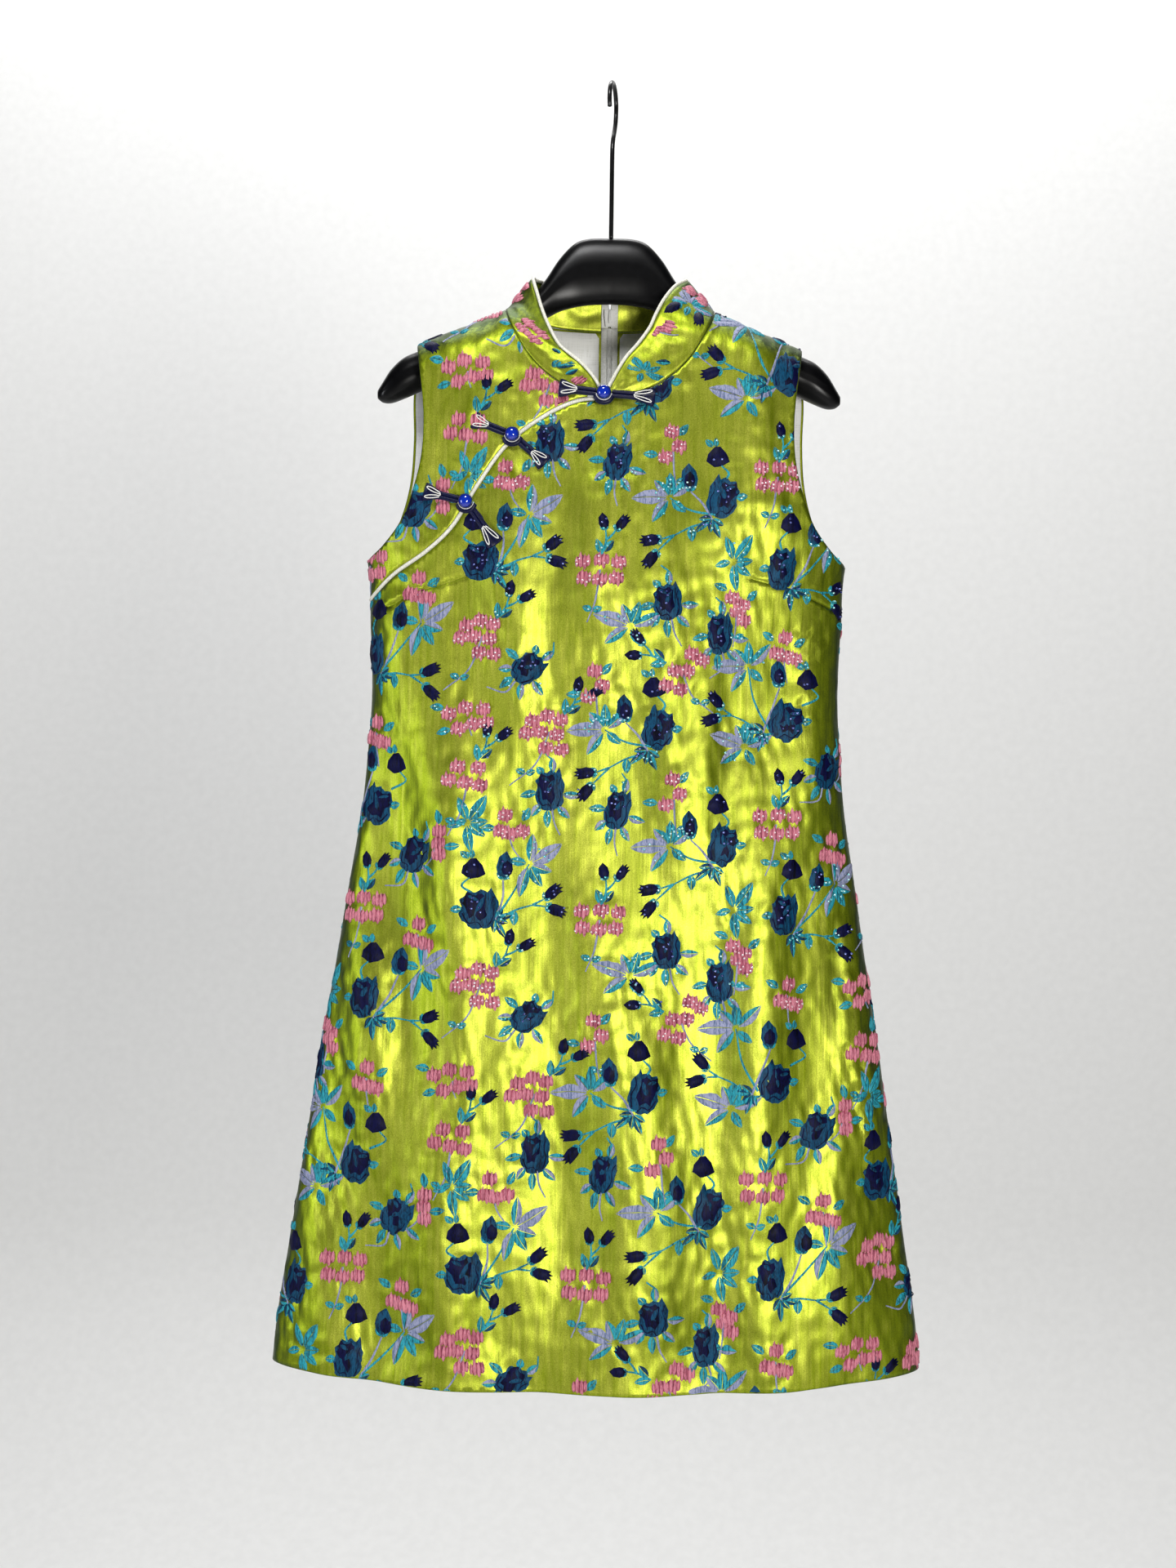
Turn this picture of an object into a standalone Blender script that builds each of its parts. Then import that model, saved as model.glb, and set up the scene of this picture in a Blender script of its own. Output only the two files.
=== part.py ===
"""A sleeveless A-line cheongsam in flowered brocade, on a broad-shouldered plastic hanger.

The front of the dress faces -Y and the wearer's right is at -X. The origin is the inside of
the hook's crown, where a rail holds the hanger. Sizes are in millimetres, and every mesh is
turned to metres as it is made. The cloth is a form that is worked out from a few tables: its
half width and depths at each height, the shoulder line that it is rolled over, and its folds.
Each cut piece is an outline on that form, given a wall.
"""

from math import asin, atan2, ceil, cos, exp, pi, sin, sqrt

import bpy
from mathutils import Matrix, Vector
from mathutils.geometry import delaunay_2d_cdt

MM = 0.001

# Walls and gaps
SHELL = 1.5  # the brocade with its interfacing
LINING = 1.0
COLLAR_WALL = 2.2  # two layers of brocade over stiff interfacing
SEAM_GAP = 0.3
PIPING_RADIUS = 1.6
COLLAR_PIPING_RADIUS = 1.4

# The form: half width at each height. Above the underarm it is wider than the cloth, because
# the armholes are cut out of it there.
UNDERARM_Z = -401
HALF_WIDTHS = (  # z, half width
    (-150, 243), (-190, 240), (-250, 235), (-300, 228), (-350, 214), (-401, 199.5),
    (-450, 196.5), (-510, 194.5), (-570, 198), (-610, 202), (-670, 211.5), (-735, 221.5),
    (-795, 231.5), (-860, 241), (-920, 250), (-980, 259), (-1030, 266.5), (-1068, 270), (-1110, 273),
)
DEPTHS = (  # z, front half depth, back half depth
    (-150, 38, 32), (-190, 40, 34), (-230, 44, 36), (-262, 47, 37), (-300, 51, 38), (-360, 57, 40),
    (-430, 58, 40), (-520, 52, 38), (-620, 50, 40), (-760, 54, 46), (-900, 60, 52), (-1110, 67, 61),
)

# The shoulder line, which the form is rolled over
NECK_X, NECK_Z = 87, -190
SHOULDER_SLOPE = 0.41
ROLL_DROP = 35  # how far below the shoulder line the roll begins
ROLL_LENGTH = 45  # the cloth that the roll takes up
SEAM_ANGLE = 89.6 / 90  # a seam edge stops this share of a quarter turn round, short of its neighbour

FRONT_FOLDS = (  # x at top, z at top, x at hem, spread, height
    (-108, -420, -124, 34, 7.0), (-34, -330, -46, 27, -6.5), (14, -430, 34, 30, 5.0),
    (70, -620, 92, 24, -6.0), (124, -430, 154, 28, 7.0), (-150, -560, -184, 20, -5.5),
    (-206, -860, -222, 14, 4.0), (200, -800, 212, 16, -3.5), (82, -262, 84, 13, 2.5),
)
BACK_FOLDS = (
    (-96, -330, -118, 30, 6.5), (-40, -420, -52, 24, -5.0), (44, -380, 58, 26, -5.5),
    (100, -330, 128, 32, 7.0), (-160, -600, -190, 22, -5.0), (164, -640, 196, 20, -5.0),
)
FOLD_GROWTH = 330  # a fold reaches its full height this far below its top

# Edges of the pieces, seen from the front, on the wearer's left: x, z
HEM_SIDE_Z, HEM_CENTRE_Z = -1067, -1076
SHOULDER_TIP_X = 160
FRONT_NECK = (
    (0, -270), (29.5, -263), (49, -251.5), (64.5, -236.5), (77.5, -216), (84.5, -201), (NECK_X, NECK_Z),
)
BACK_NECK = ((0, -199.5), (20, -199), (45, -197), (70, -193.5), (83, -191), (NECK_X, NECK_Z))
FRONT_ARMHOLE = (
    (SHOULDER_TIP_X, -220), (154.5, -254), (151.7, -285.6), (153, -316), (159, -342.5),
    (168.8, -368.5), (184.5, -389), (199.5, UNDERARM_Z),
)
BACK_ARMHOLE = (
    (SHOULDER_TIP_X, -220), (165, -256), (164.5, -296), (167, -332), (175, -364),
    (186.5, -388), (199.5, UNDERARM_Z),
)
# The slanting opening runs from the neck to the wearer's right side seam
OPENING = (
    (0, -270), (-24.5, -272), (-51.5, -284.5), (-82, -308), (-106.5, -342.5), (-126.5, -375.5),
    (-148, -395.5), (-176, -414), (-196.6, -433),
)

# The line of the collar's piping, against the share of the way round the neck from the front
# opening to the centre back. The wearer's right side is given as if it were the left.
FRONT_MIDDLE_X = -4.5  # the collar's ends meet a little to the wearer's right
COLLAR_BACK = (  # share, x, y, z
    (0.67, 62, 9, -161.5), (0.75, 53, 19.5, -161.5), (0.86, 34, 26.5, -162), (0.93, 17, 28.5, -162),
    (1.0, 2.2, 29, -162),
)
COLLAR_LEFT = (
    (0.0, -2.3, -48, -264), (0.05, 1.5, -48, -256.5), (0.11, 7, -47, -246), (0.18, 13.5, -46, -235.5),
    (0.27, 23, -43, -224), (0.37, 32.5, -38, -209.5), (0.43, 37.5, -34, -197.5), (0.49, 44, -28, -184.5),
    (0.56, 53.5, -16, -170.5), (0.62, 63, -2, -162.5),
) + COLLAR_BACK
COLLAR_RIGHT = (
    (0.0, 6.7, -48, -264), (0.06, 10.5, -48, -256.5), (0.12, 16, -47.3, -249), (0.2, 23.5, -46, -241),
    (0.29, 32.5, -43.5, -233.5), (0.37, 41.7, -40, -225), (0.45, 49.5, -34, -210.5), (0.52, 56, -26, -194),
    (0.58, 61, -16.5, -177), (0.62, 64.5, -7, -164),
) + COLLAR_BACK
COLLAR_BOW = 1.2  # the collar bellies out this much half way up
COLLAR_LIFT = 0.8  # the collar's lower edge above the neck edge of the panels

# Triangle sizes: columns across a quarter turn of the form, and the heights of the rows
COLUMNS = 12
ROW = 44
ROLL_ROW = 10  # on the roll, and just below it
ROLL_ROWS_END = 20  # how far below the roll the fine rows reach
EDGE_STEP = 3  # the spacing of an outline's points before they are thinned
EDGE_STRAYS = 0.35
CORNER = pi / 5
LONGEST_SIDE = 1.2  # in the triangles' own units
EDGE_CLEAR = 0.42  # how far the points inside keep from the edge, in the same units


def clear_scene():
    for found in list(bpy.data.objects):
        bpy.data.objects.remove(found, do_unlink=True)


def spline(table, where, column=1):
    """The smooth curve through the rows of a table, against their first column."""
    rows = table if table[0][0] < table[-1][0] else table[::-1]
    where = min(max(where, rows[0][0]), rows[-1][0])
    i = max(k for k in range(len(rows) - 1) if rows[k][0] <= where)
    (x0, x1), (y0, y1) = (rows[i][0], rows[i + 1][0]), (rows[i][column], rows[i + 1][column])

    def slope(k):
        low, high = max(k - 1, 0), min(k + 1, len(rows) - 1)
        return (rows[high][column] - rows[low][column]) / (rows[high][0] - rows[low][0])

    t = (where - x0) / (x1 - x0)
    m0, m1 = slope(i) * (x1 - x0), slope(i + 1) * (x1 - x0)
    return (
        (2 * t**3 - 3 * t**2 + 1) * y0 + (t**3 - 2 * t**2 + t) * m0
        + (3 * t**2 - 2 * t**3) * y1 + (t**3 - t**2) * m1
    )


def curve_through(points, step):
    """Evenly spaced points, about a step apart, on a smooth curve through the given ones."""
    points = [Vector(p) for p in points]
    lengths = [0.0]
    for a, b in zip(points, points[1:]):
        lengths.append(lengths[-1] + (b - a).length)
    axes = [[(s, p[k]) for s, p in zip(lengths, points)] for k in range(len(points[0]))]
    count = max(2, ceil(lengths[-1] / step))
    return [Vector([spline(axis, lengths[-1] * i / count) for axis in axes]) for i in range(count + 1)]


def eased(share):
    """0 to 1, with a soft start and end."""
    share = min(max(share, 0), 1)
    return share * share * (3 - 2 * share)


def shoulder_line(x):
    return NECK_Z - SHOULDER_SLOPE * (abs(x) - NECK_X)


def fold_height(folds, x, z):
    """How far the folds lift the cloth off the smooth form."""
    total = 0.0
    for x_top, z_top, x_hem, spread, height in folds:
        run = (z_top - z) / (z_top - HEM_CENTRE_Z)
        middle = x_top + (x_hem - x_top) * run
        total += height * eased((z_top - z) / FOLD_GROWTH) * exp(-(((x - middle) / spread) ** 2))
    return total


FIRST_HALF_WIDTH = 200  # where the search for a place's x begins
VIEW_ROUNDS = 12  # by then x and z have settled
NORMAL_TURN, NORMAL_DROP = 0.004, 0.16  # to the neighbours that a normal is worked out from


class Form:
    """One face of the dress, front or back. A place on it is (turn, drop): turn goes from -1 at
    one side seam to 1 at the other, and drop is the cloth's length below the roll over the
    shoulder, negative on the roll itself."""

    def __init__(self, depth_column, facing, folds):
        self.depth_column = depth_column
        self.facing = facing
        self.folds = folds

    def view(self, turn, drop):
        """(x, z) as seen from the front."""
        x = FIRST_HALF_WIDTH * sin(turn * pi / 2)
        z = NECK_Z
        for _ in range(VIEW_ROUNDS):
            if drop >= 0:
                z = shoulder_line(x) - ROLL_DROP - drop
            else:
                z = shoulder_line(x) - ROLL_DROP * (1 - sin(min(-drop / ROLL_LENGTH, 1) * pi / 2))
            x = spline(HALF_WIDTHS, z) * sin(turn * pi / 2)
        return x, z

    def place(self, x, z):
        """(turn, drop) of a point seen from the front."""
        turn = asin(min(max(x / spline(HALF_WIDTHS, z), -1), 1)) / (pi / 2)
        below = shoulder_line(x) - z
        if below >= ROLL_DROP:
            return turn, below - ROLL_DROP
        return turn, -asin(min(max(1 - below / ROLL_DROP, 0), 1)) / (pi / 2) * ROLL_LENGTH

    def point(self, turn, drop):
        x, z = self.view(turn, drop)
        roll = min(max(-drop / ROLL_LENGTH, 0), 1) * pi / 2
        fullness = cos(turn * pi / 2) * cos(roll)
        depth = (spline(DEPTHS, z, self.depth_column) + fold_height(self.folds, x, z)) * fullness
        return Vector((x, self.facing * depth, z))

    def normal(self, turn, drop):
        left, right = min(turn + NORMAL_TURN, 1), max(turn - NORMAL_TURN, -1)
        across = self.point(left, drop) - self.point(right, drop)
        above = max(drop - NORMAL_DROP, -ROLL_LENGTH)
        down = self.point(turn, drop + NORMAL_DROP) - self.point(turn, above)
        return (across.cross(down) * self.facing).normalized()

    def at(self, x, z, out=0.0):
        turn, drop = self.place(x, z)
        return self.point(turn, drop) + self.normal(turn, drop) * out


FRONT = Form(depth_column=1, facing=-1, folds=FRONT_FOLDS)
BACK = Form(depth_column=2, facing=1, folds=BACK_FOLDS)


# Solids ------------------------------------------------------------------------------------


def material(name, colour, roughness, metallic=0.0):
    made = bpy.data.materials.get(name) or bpy.data.materials.new(name)
    made.use_nodes = True
    shader = made.node_tree.nodes["Principled BSDF"]
    shader.inputs["Base Color"].default_value = (*colour, 1)
    shader.inputs["Roughness"].default_value = roughness
    shader.inputs["Metallic"].default_value = metallic
    return made


def add_object(name, points, faces, finish):
    mesh = bpy.data.meshes.new(name)
    mesh.from_pydata([Vector(p) * MM for p in points], [], faces)
    mesh.materials.append(finish)
    mesh.shade_smooth()
    mesh.set_sharp_from_angle(angle=CORNER)
    made = bpy.data.objects.new(name, mesh)
    bpy.context.scene.collection.objects.link(made)
    return made


def inside(outline, point):
    """Whether a flat outline holds a point, and how near the point is to its edge."""
    held, nearest = False, 1e9
    for a, b in zip(outline, outline[1:] + outline[:1]):
        if (a.y > point.y) != (b.y > point.y):
            if point.x < a.x + (b.x - a.x) * (point.y - a.y) / (b.y - a.y):
                held = not held
        edge = b - a
        share = min(max((point - a).dot(edge) / max(edge.length_squared, 1e-12), 0), 1)
        nearest = min(nearest, (point - a - edge * share).length)
    return held, nearest


def flat_triangles(outline):
    """Triangles that fill a flat outline, with a staggered grid of points inside, one unit apart."""
    points = list(outline)
    low_x, high_x = min(p.x for p in outline), max(p.x for p in outline)
    low_y, high_y = min(p.y for p in outline), max(p.y for p in outline)
    row_height = sqrt(3) / 2
    for j in range(ceil(low_y / row_height), int(high_y / row_height) + 1):
        for i in range(ceil(low_x) - 1, int(high_x) + 2):
            spot = Vector((i + 0.5 * (j % 2), j * row_height))
            held, nearest = inside(outline, spot)
            if held and nearest > EDGE_CLEAR:
                points.append(spot)
    found = delaunay_2d_cdt(points, [], [list(range(len(outline)))], 1, 1e-6)
    triangles = []
    for a, b, c in found[2]:
        turn = (found[0][b] - found[0][a]).cross(found[0][c] - found[0][a])
        triangles.append((a, b, c) if turn > 0 else (a, c, b))
    return found[0], triangles


def thinned(form, places, flat):
    """The points that an outline needs: those at its corners, and enough on each stretch that it
    strays little from its curve and has no side longer than the triangles inside."""
    solid = [form.point(*place) for place in places]
    kept, last = [0], 0
    for i in range(1, len(places)):
        before, after = solid[i] - solid[i - 1], solid[(i + 1) % len(solid)] - solid[i]
        corner = before.length > 0 and after.length > 0 and before.angle(after) > CORNER
        chord = solid[(i + 1) % len(solid)] - solid[last]
        strays = max(
            (solid[k] - solid[last]).cross(chord).length / max(chord.length, 1e-6)
            for k in range(last + 1, i + 1)
        )
        far = (flat[(i + 1) % len(flat)] - flat[last]).length > LONGEST_SIDE
        if corner or strays > EDGE_STRAYS or far:
            kept.append(i)
            last = i
    return [flat[i] for i in kept]


def walled(name, spots, triangles, outer, inner, finish):
    """A solid between an outer and an inner copy of a triangulated sheet."""
    count = len(spots)
    edges = {}
    for a, b, c in triangles:
        for pair in ((a, b), (b, c), (c, a)):
            edges[pair] = True
    faces = [tuple(t) for t in triangles]
    faces += [(c + count, b + count, a + count) for a, b, c in triangles]
    faces += [(b, a, a + count, b + count) for a, b in edges if (b, a) not in edges]
    return add_object(name, [outer(s) for s in spots] + [inner(s) for s in spots], faces, finish)


def cloth_piece(
    name, form, outline, finish, outer=0.0, wall=SHELL, columns=COLUMNS, row=ROW, roll_row=ROLL_ROW,
):
    """A cut piece on a face of the dress. outline holds (turn, drop) pairs in order round the
    edge. outer is where its outer side lies off the form, a length or a function of the place.
    The triangles are worked out on a flat sheet, where they are one unit wide and high."""
    off = outer if callable(outer) else lambda turn, drop: outer

    def flat_y(drop):
        return -min(drop - ROLL_ROWS_END, 0) / roll_row - max(drop - ROLL_ROWS_END, 0) / row

    def drop_at(y):
        return ROLL_ROWS_END - max(y, 0) * roll_row - min(y, 0) * row

    flat = [Vector((turn * columns, flat_y(drop))) for turn, drop in outline]
    spots, triangles = flat_triangles(thinned(form, outline, flat))
    if form.facing > 0:
        triangles = [t[::-1] for t in triangles]
    places = [(s.x / columns, drop_at(s.y)) for s in spots]

    def side(depth):
        def at(place):
            turn, drop = place
            return form.point(turn, drop) + form.normal(turn, drop) * (off(turn, drop) - depth)
        return at

    return walled(name, places, triangles, side(0), side(wall), finish)


def tube(name, points, radius, sides, finish):
    """A round cord through the points, with flat ends."""
    points = [Vector(p) for p in points]
    rings = []
    side = None
    for i, point in enumerate(points):
        along = (points[min(i + 1, len(points) - 1)] - points[max(i - 1, 0)]).normalized()
        if side is None:
            side = along.orthogonal()
        side = (side - along * side.dot(along)).normalized()
        other = along.cross(side)
        rings.append([
            point + side * radius * cos(2 * pi * k / sides) + other * radius * sin(2 * pi * k / sides)
            for k in range(sides)
        ])
    return loft(name, rings, finish)


def loft(name, rings, finish):
    """A closed solid through rings of points, with its two ends filled."""
    sides = len(rings[0])
    points = [p for ring in rings for p in ring]
    faces = []
    for i in range(len(rings) - 1):
        for k in range(sides):
            a, b = i * sides + k, i * sides + (k + 1) % sides
            faces.append((a, b, b + sides, a + sides))
    faces.append(tuple(range(sides))[::-1])
    faces.append(tuple(range(len(points) - sides, len(points))))
    return add_object(name, points, faces, finish)


def mirrored(points):
    return [(-p[0], *p[1:]) for p in points]


# Outlines of the cloth pieces ----------------------------------------------------------------


def offset_line(points, distance):
    """A line beside another, on its left if distance is above 0."""
    moved = []
    for i, point in enumerate(points):
        along = points[min(i + 1, len(points) - 1)] - points[max(i - 1, 0)]
        moved.append(point + Vector((-along.y, along.x)).normalized() * distance)
    return moved


def placed(form, points):
    return [form.place(p[0], p[1]) for p in points]


SIDE_STEP = 4 * EDGE_STEP  # a side seam is nearly straight
HEM_TURN = 0.02  # between a hem's points


def shoulder_edge(form, side, start_x, end_x):
    """The shoulder seam between two distances from the centre."""
    count = ceil(abs(end_x - start_x) / EDGE_STEP)
    xs = [start_x + (end_x - start_x) * i / count for i in range(count + 1)]
    return [(form.place(side * x, shoulder_line(x))[0], -ROLL_LENGTH * SEAM_ANGLE) for x in xs]


def side_edge(side, z_start, z_end, turn=SEAM_ANGLE):
    count = ceil(abs(z_end - z_start) / SIDE_STEP)
    edge = []
    for i in range(count + 1):
        z = z_start + (z_end - z_start) * i / count
        edge.append((side * turn, shoulder_line(spline(HALF_WIDTHS, z)) - ROLL_DROP - z))
    return edge


def hem_z(x, rise=0.0):
    """The hem's height, which rises a little to the side seams."""
    share = min(abs(x) / spline(HALF_WIDTHS, HEM_SIDE_Z), 1)
    return HEM_CENTRE_Z + (HEM_SIDE_Z - HEM_CENTRE_Z) * share**2 + rise


def hem_edge(form, turn_start, turn_end, rise=0.0):
    count = ceil(abs(turn_end - turn_start) / HEM_TURN)
    edge = []
    for i in range(count + 1):
        turn = turn_start + (turn_end - turn_start) * i / count
        x = spline(HALF_WIDTHS, HEM_SIDE_Z) * sin(turn * pi / 2)
        edge.append((turn, form.place(x, hem_z(x, rise))[1]))
    return edge


def joined(*edges):
    """Edges put end to end as one outline."""
    return [spot for edge in edges for spot in edge]


def inset_edge(points, by):
    """An edge moved by a distance towards the middle of its piece, which is on its right."""
    return offset_line([Vector(p) for p in points], -by)


# Pieces ---------------------------------------------------------------------------------------


POINT_X = 17  # the shoulder piece comes to its point this far from the middle
PIPING_CLEAR = 1  # left free at each end of the edges beside the opening
CENTRE_BACK_GAP = 0.7  # each back panel's edge from the middle, where the zip is sewn in


def make_front(brocade):
    """The main front, with the slanting opening's edge, and the small shoulder piece above it."""
    slant = curve_through(OPENING, EDGE_STEP)
    beside = PIPING_RADIUS + SEAM_GAP
    neck = curve_through(FRONT_NECK, EDGE_STEP)
    armhole = curve_through(FRONT_ARMHOLE, EDGE_STEP)
    end_z = OPENING[-1][1]
    below = placed(FRONT, offset_line(slant, beside)[:-1])
    outline = joined(
        placed(FRONT, neck[1:-1]),
        shoulder_edge(FRONT, 1, NECK_X, SHOULDER_TIP_X),
        placed(FRONT, armhole[1:-1]),
        side_edge(1, UNDERARM_Z, HEM_SIDE_Z),
        hem_edge(FRONT, SEAM_ANGLE, -SEAM_ANGLE),
        side_edge(-1, HEM_SIDE_Z, end_z - beside - PIPING_CLEAR),
        below[::-1],
    )
    cloth_piece("front_panel", FRONT, outline, brocade)
    above = placed(FRONT, [p for p in offset_line(slant, -beside)[:-1] if p.x < -POINT_X - PIPING_CLEAR])
    outline = joined(
        placed(FRONT, [p for p in mirrored(neck)[:-1] if p[0] < -POINT_X]),
        shoulder_edge(FRONT, -1, NECK_X, SHOULDER_TIP_X),
        placed(FRONT, mirrored(armhole)[1:-1]),
        side_edge(-1, UNDERARM_Z, end_z + beside + PIPING_CLEAR),
        above[::-1],
    )
    cloth_piece("front_shoulder_piece", FRONT, outline, brocade)


def make_back(brocade):
    for side, name in ((1, "back_panel_left"), (-1, "back_panel_right")):
        neck = curve_through(BACK_NECK, EDGE_STEP)[1:-1]
        armhole = curve_through(BACK_ARMHOLE, EDGE_STEP)[1:-1]
        if side < 0:
            neck, armhole = mirrored(neck), mirrored(armhole)
        centre = CENTRE_BACK_GAP / spline(HALF_WIDTHS, UNDERARM_Z) / (pi / 2) * side
        top = BACK.place(0, BACK_NECK[0][1])[1]
        bottom = BACK.place(0, HEM_CENTRE_Z)[1]
        rows = ceil((bottom - top) / EDGE_STEP)
        middle = [(centre, bottom + (top - bottom) * i / rows) for i in range(rows + 1)]
        outline = joined(
            middle,
            placed(BACK, neck),
            shoulder_edge(BACK, side, NECK_X, SHOULDER_TIP_X),
            placed(BACK, armhole),
            side_edge(side, UNDERARM_Z, HEM_SIDE_Z),
            hem_edge(BACK, side * SEAM_ANGLE, centre)[:-1],
        )
        cloth_piece(name, BACK, outline, brocade)


LINING_EDGE = 1.6  # the lining stops this far inside the neck and armhole edges
LINING_HEM_RISE = 28
LINING_GAP = 0.9  # from the brocade at the seams
LINING_SLACK = 6.0  # how far the lining hangs free of the brocade, away from its seams
LINING_SLACK_DROP = 300  # the cloth over which it comes free
LINING_SEAM = 0.98 * SEAM_ANGLE
LINING_SHOULDER = 0.5 - ROLL_LENGTH * SEAM_ANGLE  # its drop, just short of the shoulder seam
LINING_SHOULDER_INSET = 3  # the lining's shoulder is this much shorter at each end
LINING_UNDERARM_Z = UNDERARM_Z - 4
LINING_ZIP_EDGE, LINING_ZIP_CORNER = 7.6, 4  # from the middle, and how much more at the neck
LINING_COLUMNS, LINING_ROW = 9, 62


def lining_off(turn, drop):
    """The lining's outer side, off the form: sewn close at the top and free below."""
    return -(SHELL + LINING_GAP + LINING_SLACK * eased((drop + ROLL_LENGTH) / LINING_SLACK_DROP))


def lining_shoulder(form, side):
    ends = NECK_X + LINING_SHOULDER_INSET, SHOULDER_TIP_X - LINING_SHOULDER_INSET
    return [(turn, LINING_SHOULDER) for turn, _ in shoulder_edge(form, side, *ends)]


def lining_piece(name, form, outline, satin):
    cloth_piece(
        name, form, outline, satin, outer=lining_off, wall=LINING,
        columns=LINING_COLUMNS, row=LINING_ROW,
    )


def make_lining(satin):
    neck = inset_edge(curve_through(FRONT_NECK, EDGE_STEP), LINING_EDGE)
    armhole = inset_edge(curve_through(FRONT_ARMHOLE, EDGE_STEP), LINING_EDGE)
    edges = []
    for side in (-1, 1):
        neck_side = neck if side > 0 else mirrored(neck)
        arm_side = armhole if side > 0 else mirrored(armhole)
        edges.append(joined(
            placed(FRONT, neck_side[:-1]), lining_shoulder(FRONT, side), placed(FRONT, arm_side[1:-1]),
            side_edge(side, LINING_UNDERARM_Z, HEM_SIDE_Z + LINING_HEM_RISE, turn=LINING_SEAM),
        ))
    hem = hem_edge(FRONT, LINING_SEAM, -LINING_SEAM, rise=LINING_HEM_RISE)
    lining_piece("lining_front", FRONT, joined(edges[1], hem, edges[0][::-1]), satin)
    for side, name in ((1, "lining_back_left"), (-1, "lining_back_right")):
        neck = inset_edge(curve_through(BACK_NECK, EDGE_STEP), LINING_EDGE)
        armhole = inset_edge(curve_through(BACK_ARMHOLE, EDGE_STEP), LINING_EDGE)
        if side < 0:
            neck, armhole = mirrored(neck), mirrored(armhole)
        neck = [p for p in neck if abs(p[0]) > LINING_ZIP_EDGE + LINING_ZIP_CORNER]
        centre = LINING_ZIP_EDGE / spline(HALF_WIDTHS, UNDERARM_Z) / (pi / 2) * side
        top = BACK.place(0, BACK_NECK[0][1] - LINING_EDGE)[1]
        bottom = BACK.place(0, HEM_CENTRE_Z + LINING_HEM_RISE)[1]
        rows = ceil((bottom - top) / EDGE_STEP)
        middle = [(centre, bottom + (top - bottom) * i / rows) for i in range(rows + 1)]
        outline = joined(
            middle, placed(BACK, neck[:-1]), lining_shoulder(BACK, side), placed(BACK, armhole[1:-1]),
            side_edge(side, LINING_UNDERARM_Z, HEM_SIDE_Z + LINING_HEM_RISE, turn=LINING_SEAM),
            hem_edge(BACK, side * LINING_SEAM, centre, rise=LINING_HEM_RISE)[:-1],
        )
        lining_piece(name, BACK, outline, satin)


COLLAR_GAP = 0.8  # each end of the collar from the middle
COLLAR_STEP = 7.5
COLLAR_ROWS = 4
COLLAR_FRONT_CLEAR = 2  # the neck edge's points start this far past the collar's end
SLANT_SHARE, NORMAL_SHARE = 0.01, 0.02  # shares of the way round, for the piping's and cloth's lie
LEAST_SLANT = 0.5
BOW_SIDEWAYS = 0.4  # the collar bellies this much less to the sides than to front and back


class Collar:
    """Half of the stand collar, from the front opening to the centre back. It is worked out on
    the wearer's left, and turned over for the right."""

    def __init__(self, side, piping_line):
        self.side = side
        self.piping_line = piping_line
        self.start_x = side * FRONT_MIDDLE_X
        front = curve_through(FRONT_NECK, EDGE_STEP)
        clear = [(p.x, p.y) for p in front if p.x > self.start_x + COLLAR_FRONT_CLEAR]
        front = [FRONT.at(*p) for p in [(self.start_x, front[0].y)] + clear]
        back = [BACK.at(*p) for p in curve_through(BACK_NECK, EDGE_STEP)]
        self.ring = curve_through(front + back[-2::-1], EDGE_STEP)
        self.length = sum((b - a).length for a, b in zip(self.ring, self.ring[1:]))

    def base(self, share):
        where = share * (len(self.ring) - 1)
        i = min(int(where), len(self.ring) - 2)
        return self.ring[i].lerp(self.ring[i + 1], where - i)

    def piping(self, share):
        return Vector([spline(self.piping_line, share, k) for k in (1, 2, 3)])

    def rise(self, share):
        return (self.piping(share) - self.base(share)).normalized()

    def cloth(self, share, height):
        """The middle of the wall, at a height from 0 at the seam to 1 at the piping."""
        low, high = max(share - SLANT_SHARE, 0), min(share + SLANT_SHARE, 1)
        rise = self.rise(share)
        slant = rise.cross((self.piping(high) - self.piping(low)).normalized()).length
        base = self.base(share) + rise * COLLAR_LIFT
        top = self.piping(share) - rise * (COLLAR_PIPING_RADIUS + SEAM_GAP) / max(slant, LEAST_SLANT)
        found = base.lerp(top, height)
        outward = Vector((found.x * BOW_SIDEWAYS, found.y, 0)).normalized()
        return found + outward * COLLAR_BOW * 4 * height * (1 - height)

    def normal(self, share, height):
        low, high = max(share - NORMAL_SHARE, 0), min(share + NORMAL_SHARE, 1)
        around = self.cloth(high, height) - self.cloth(low, height)
        return around.cross(self.cloth(share, 1) - self.cloth(share, 0)).normalized()

    def face(self, share, height, out):
        """A point off the middle of the wall, kept clear of the other half of the collar."""
        found = self.cloth(share, height) + self.normal(share, height) * out
        least_x = COLLAR_GAP
        if share < 0.5:
            least_x += self.start_x + 2 * COLLAR_PIPING_RADIUS + SEAM_GAP
        return self.turned(max(found.x, least_x), found.y, found.z)

    def turned(self, x, y, z):
        return Vector((self.side * x, y, z))


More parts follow.
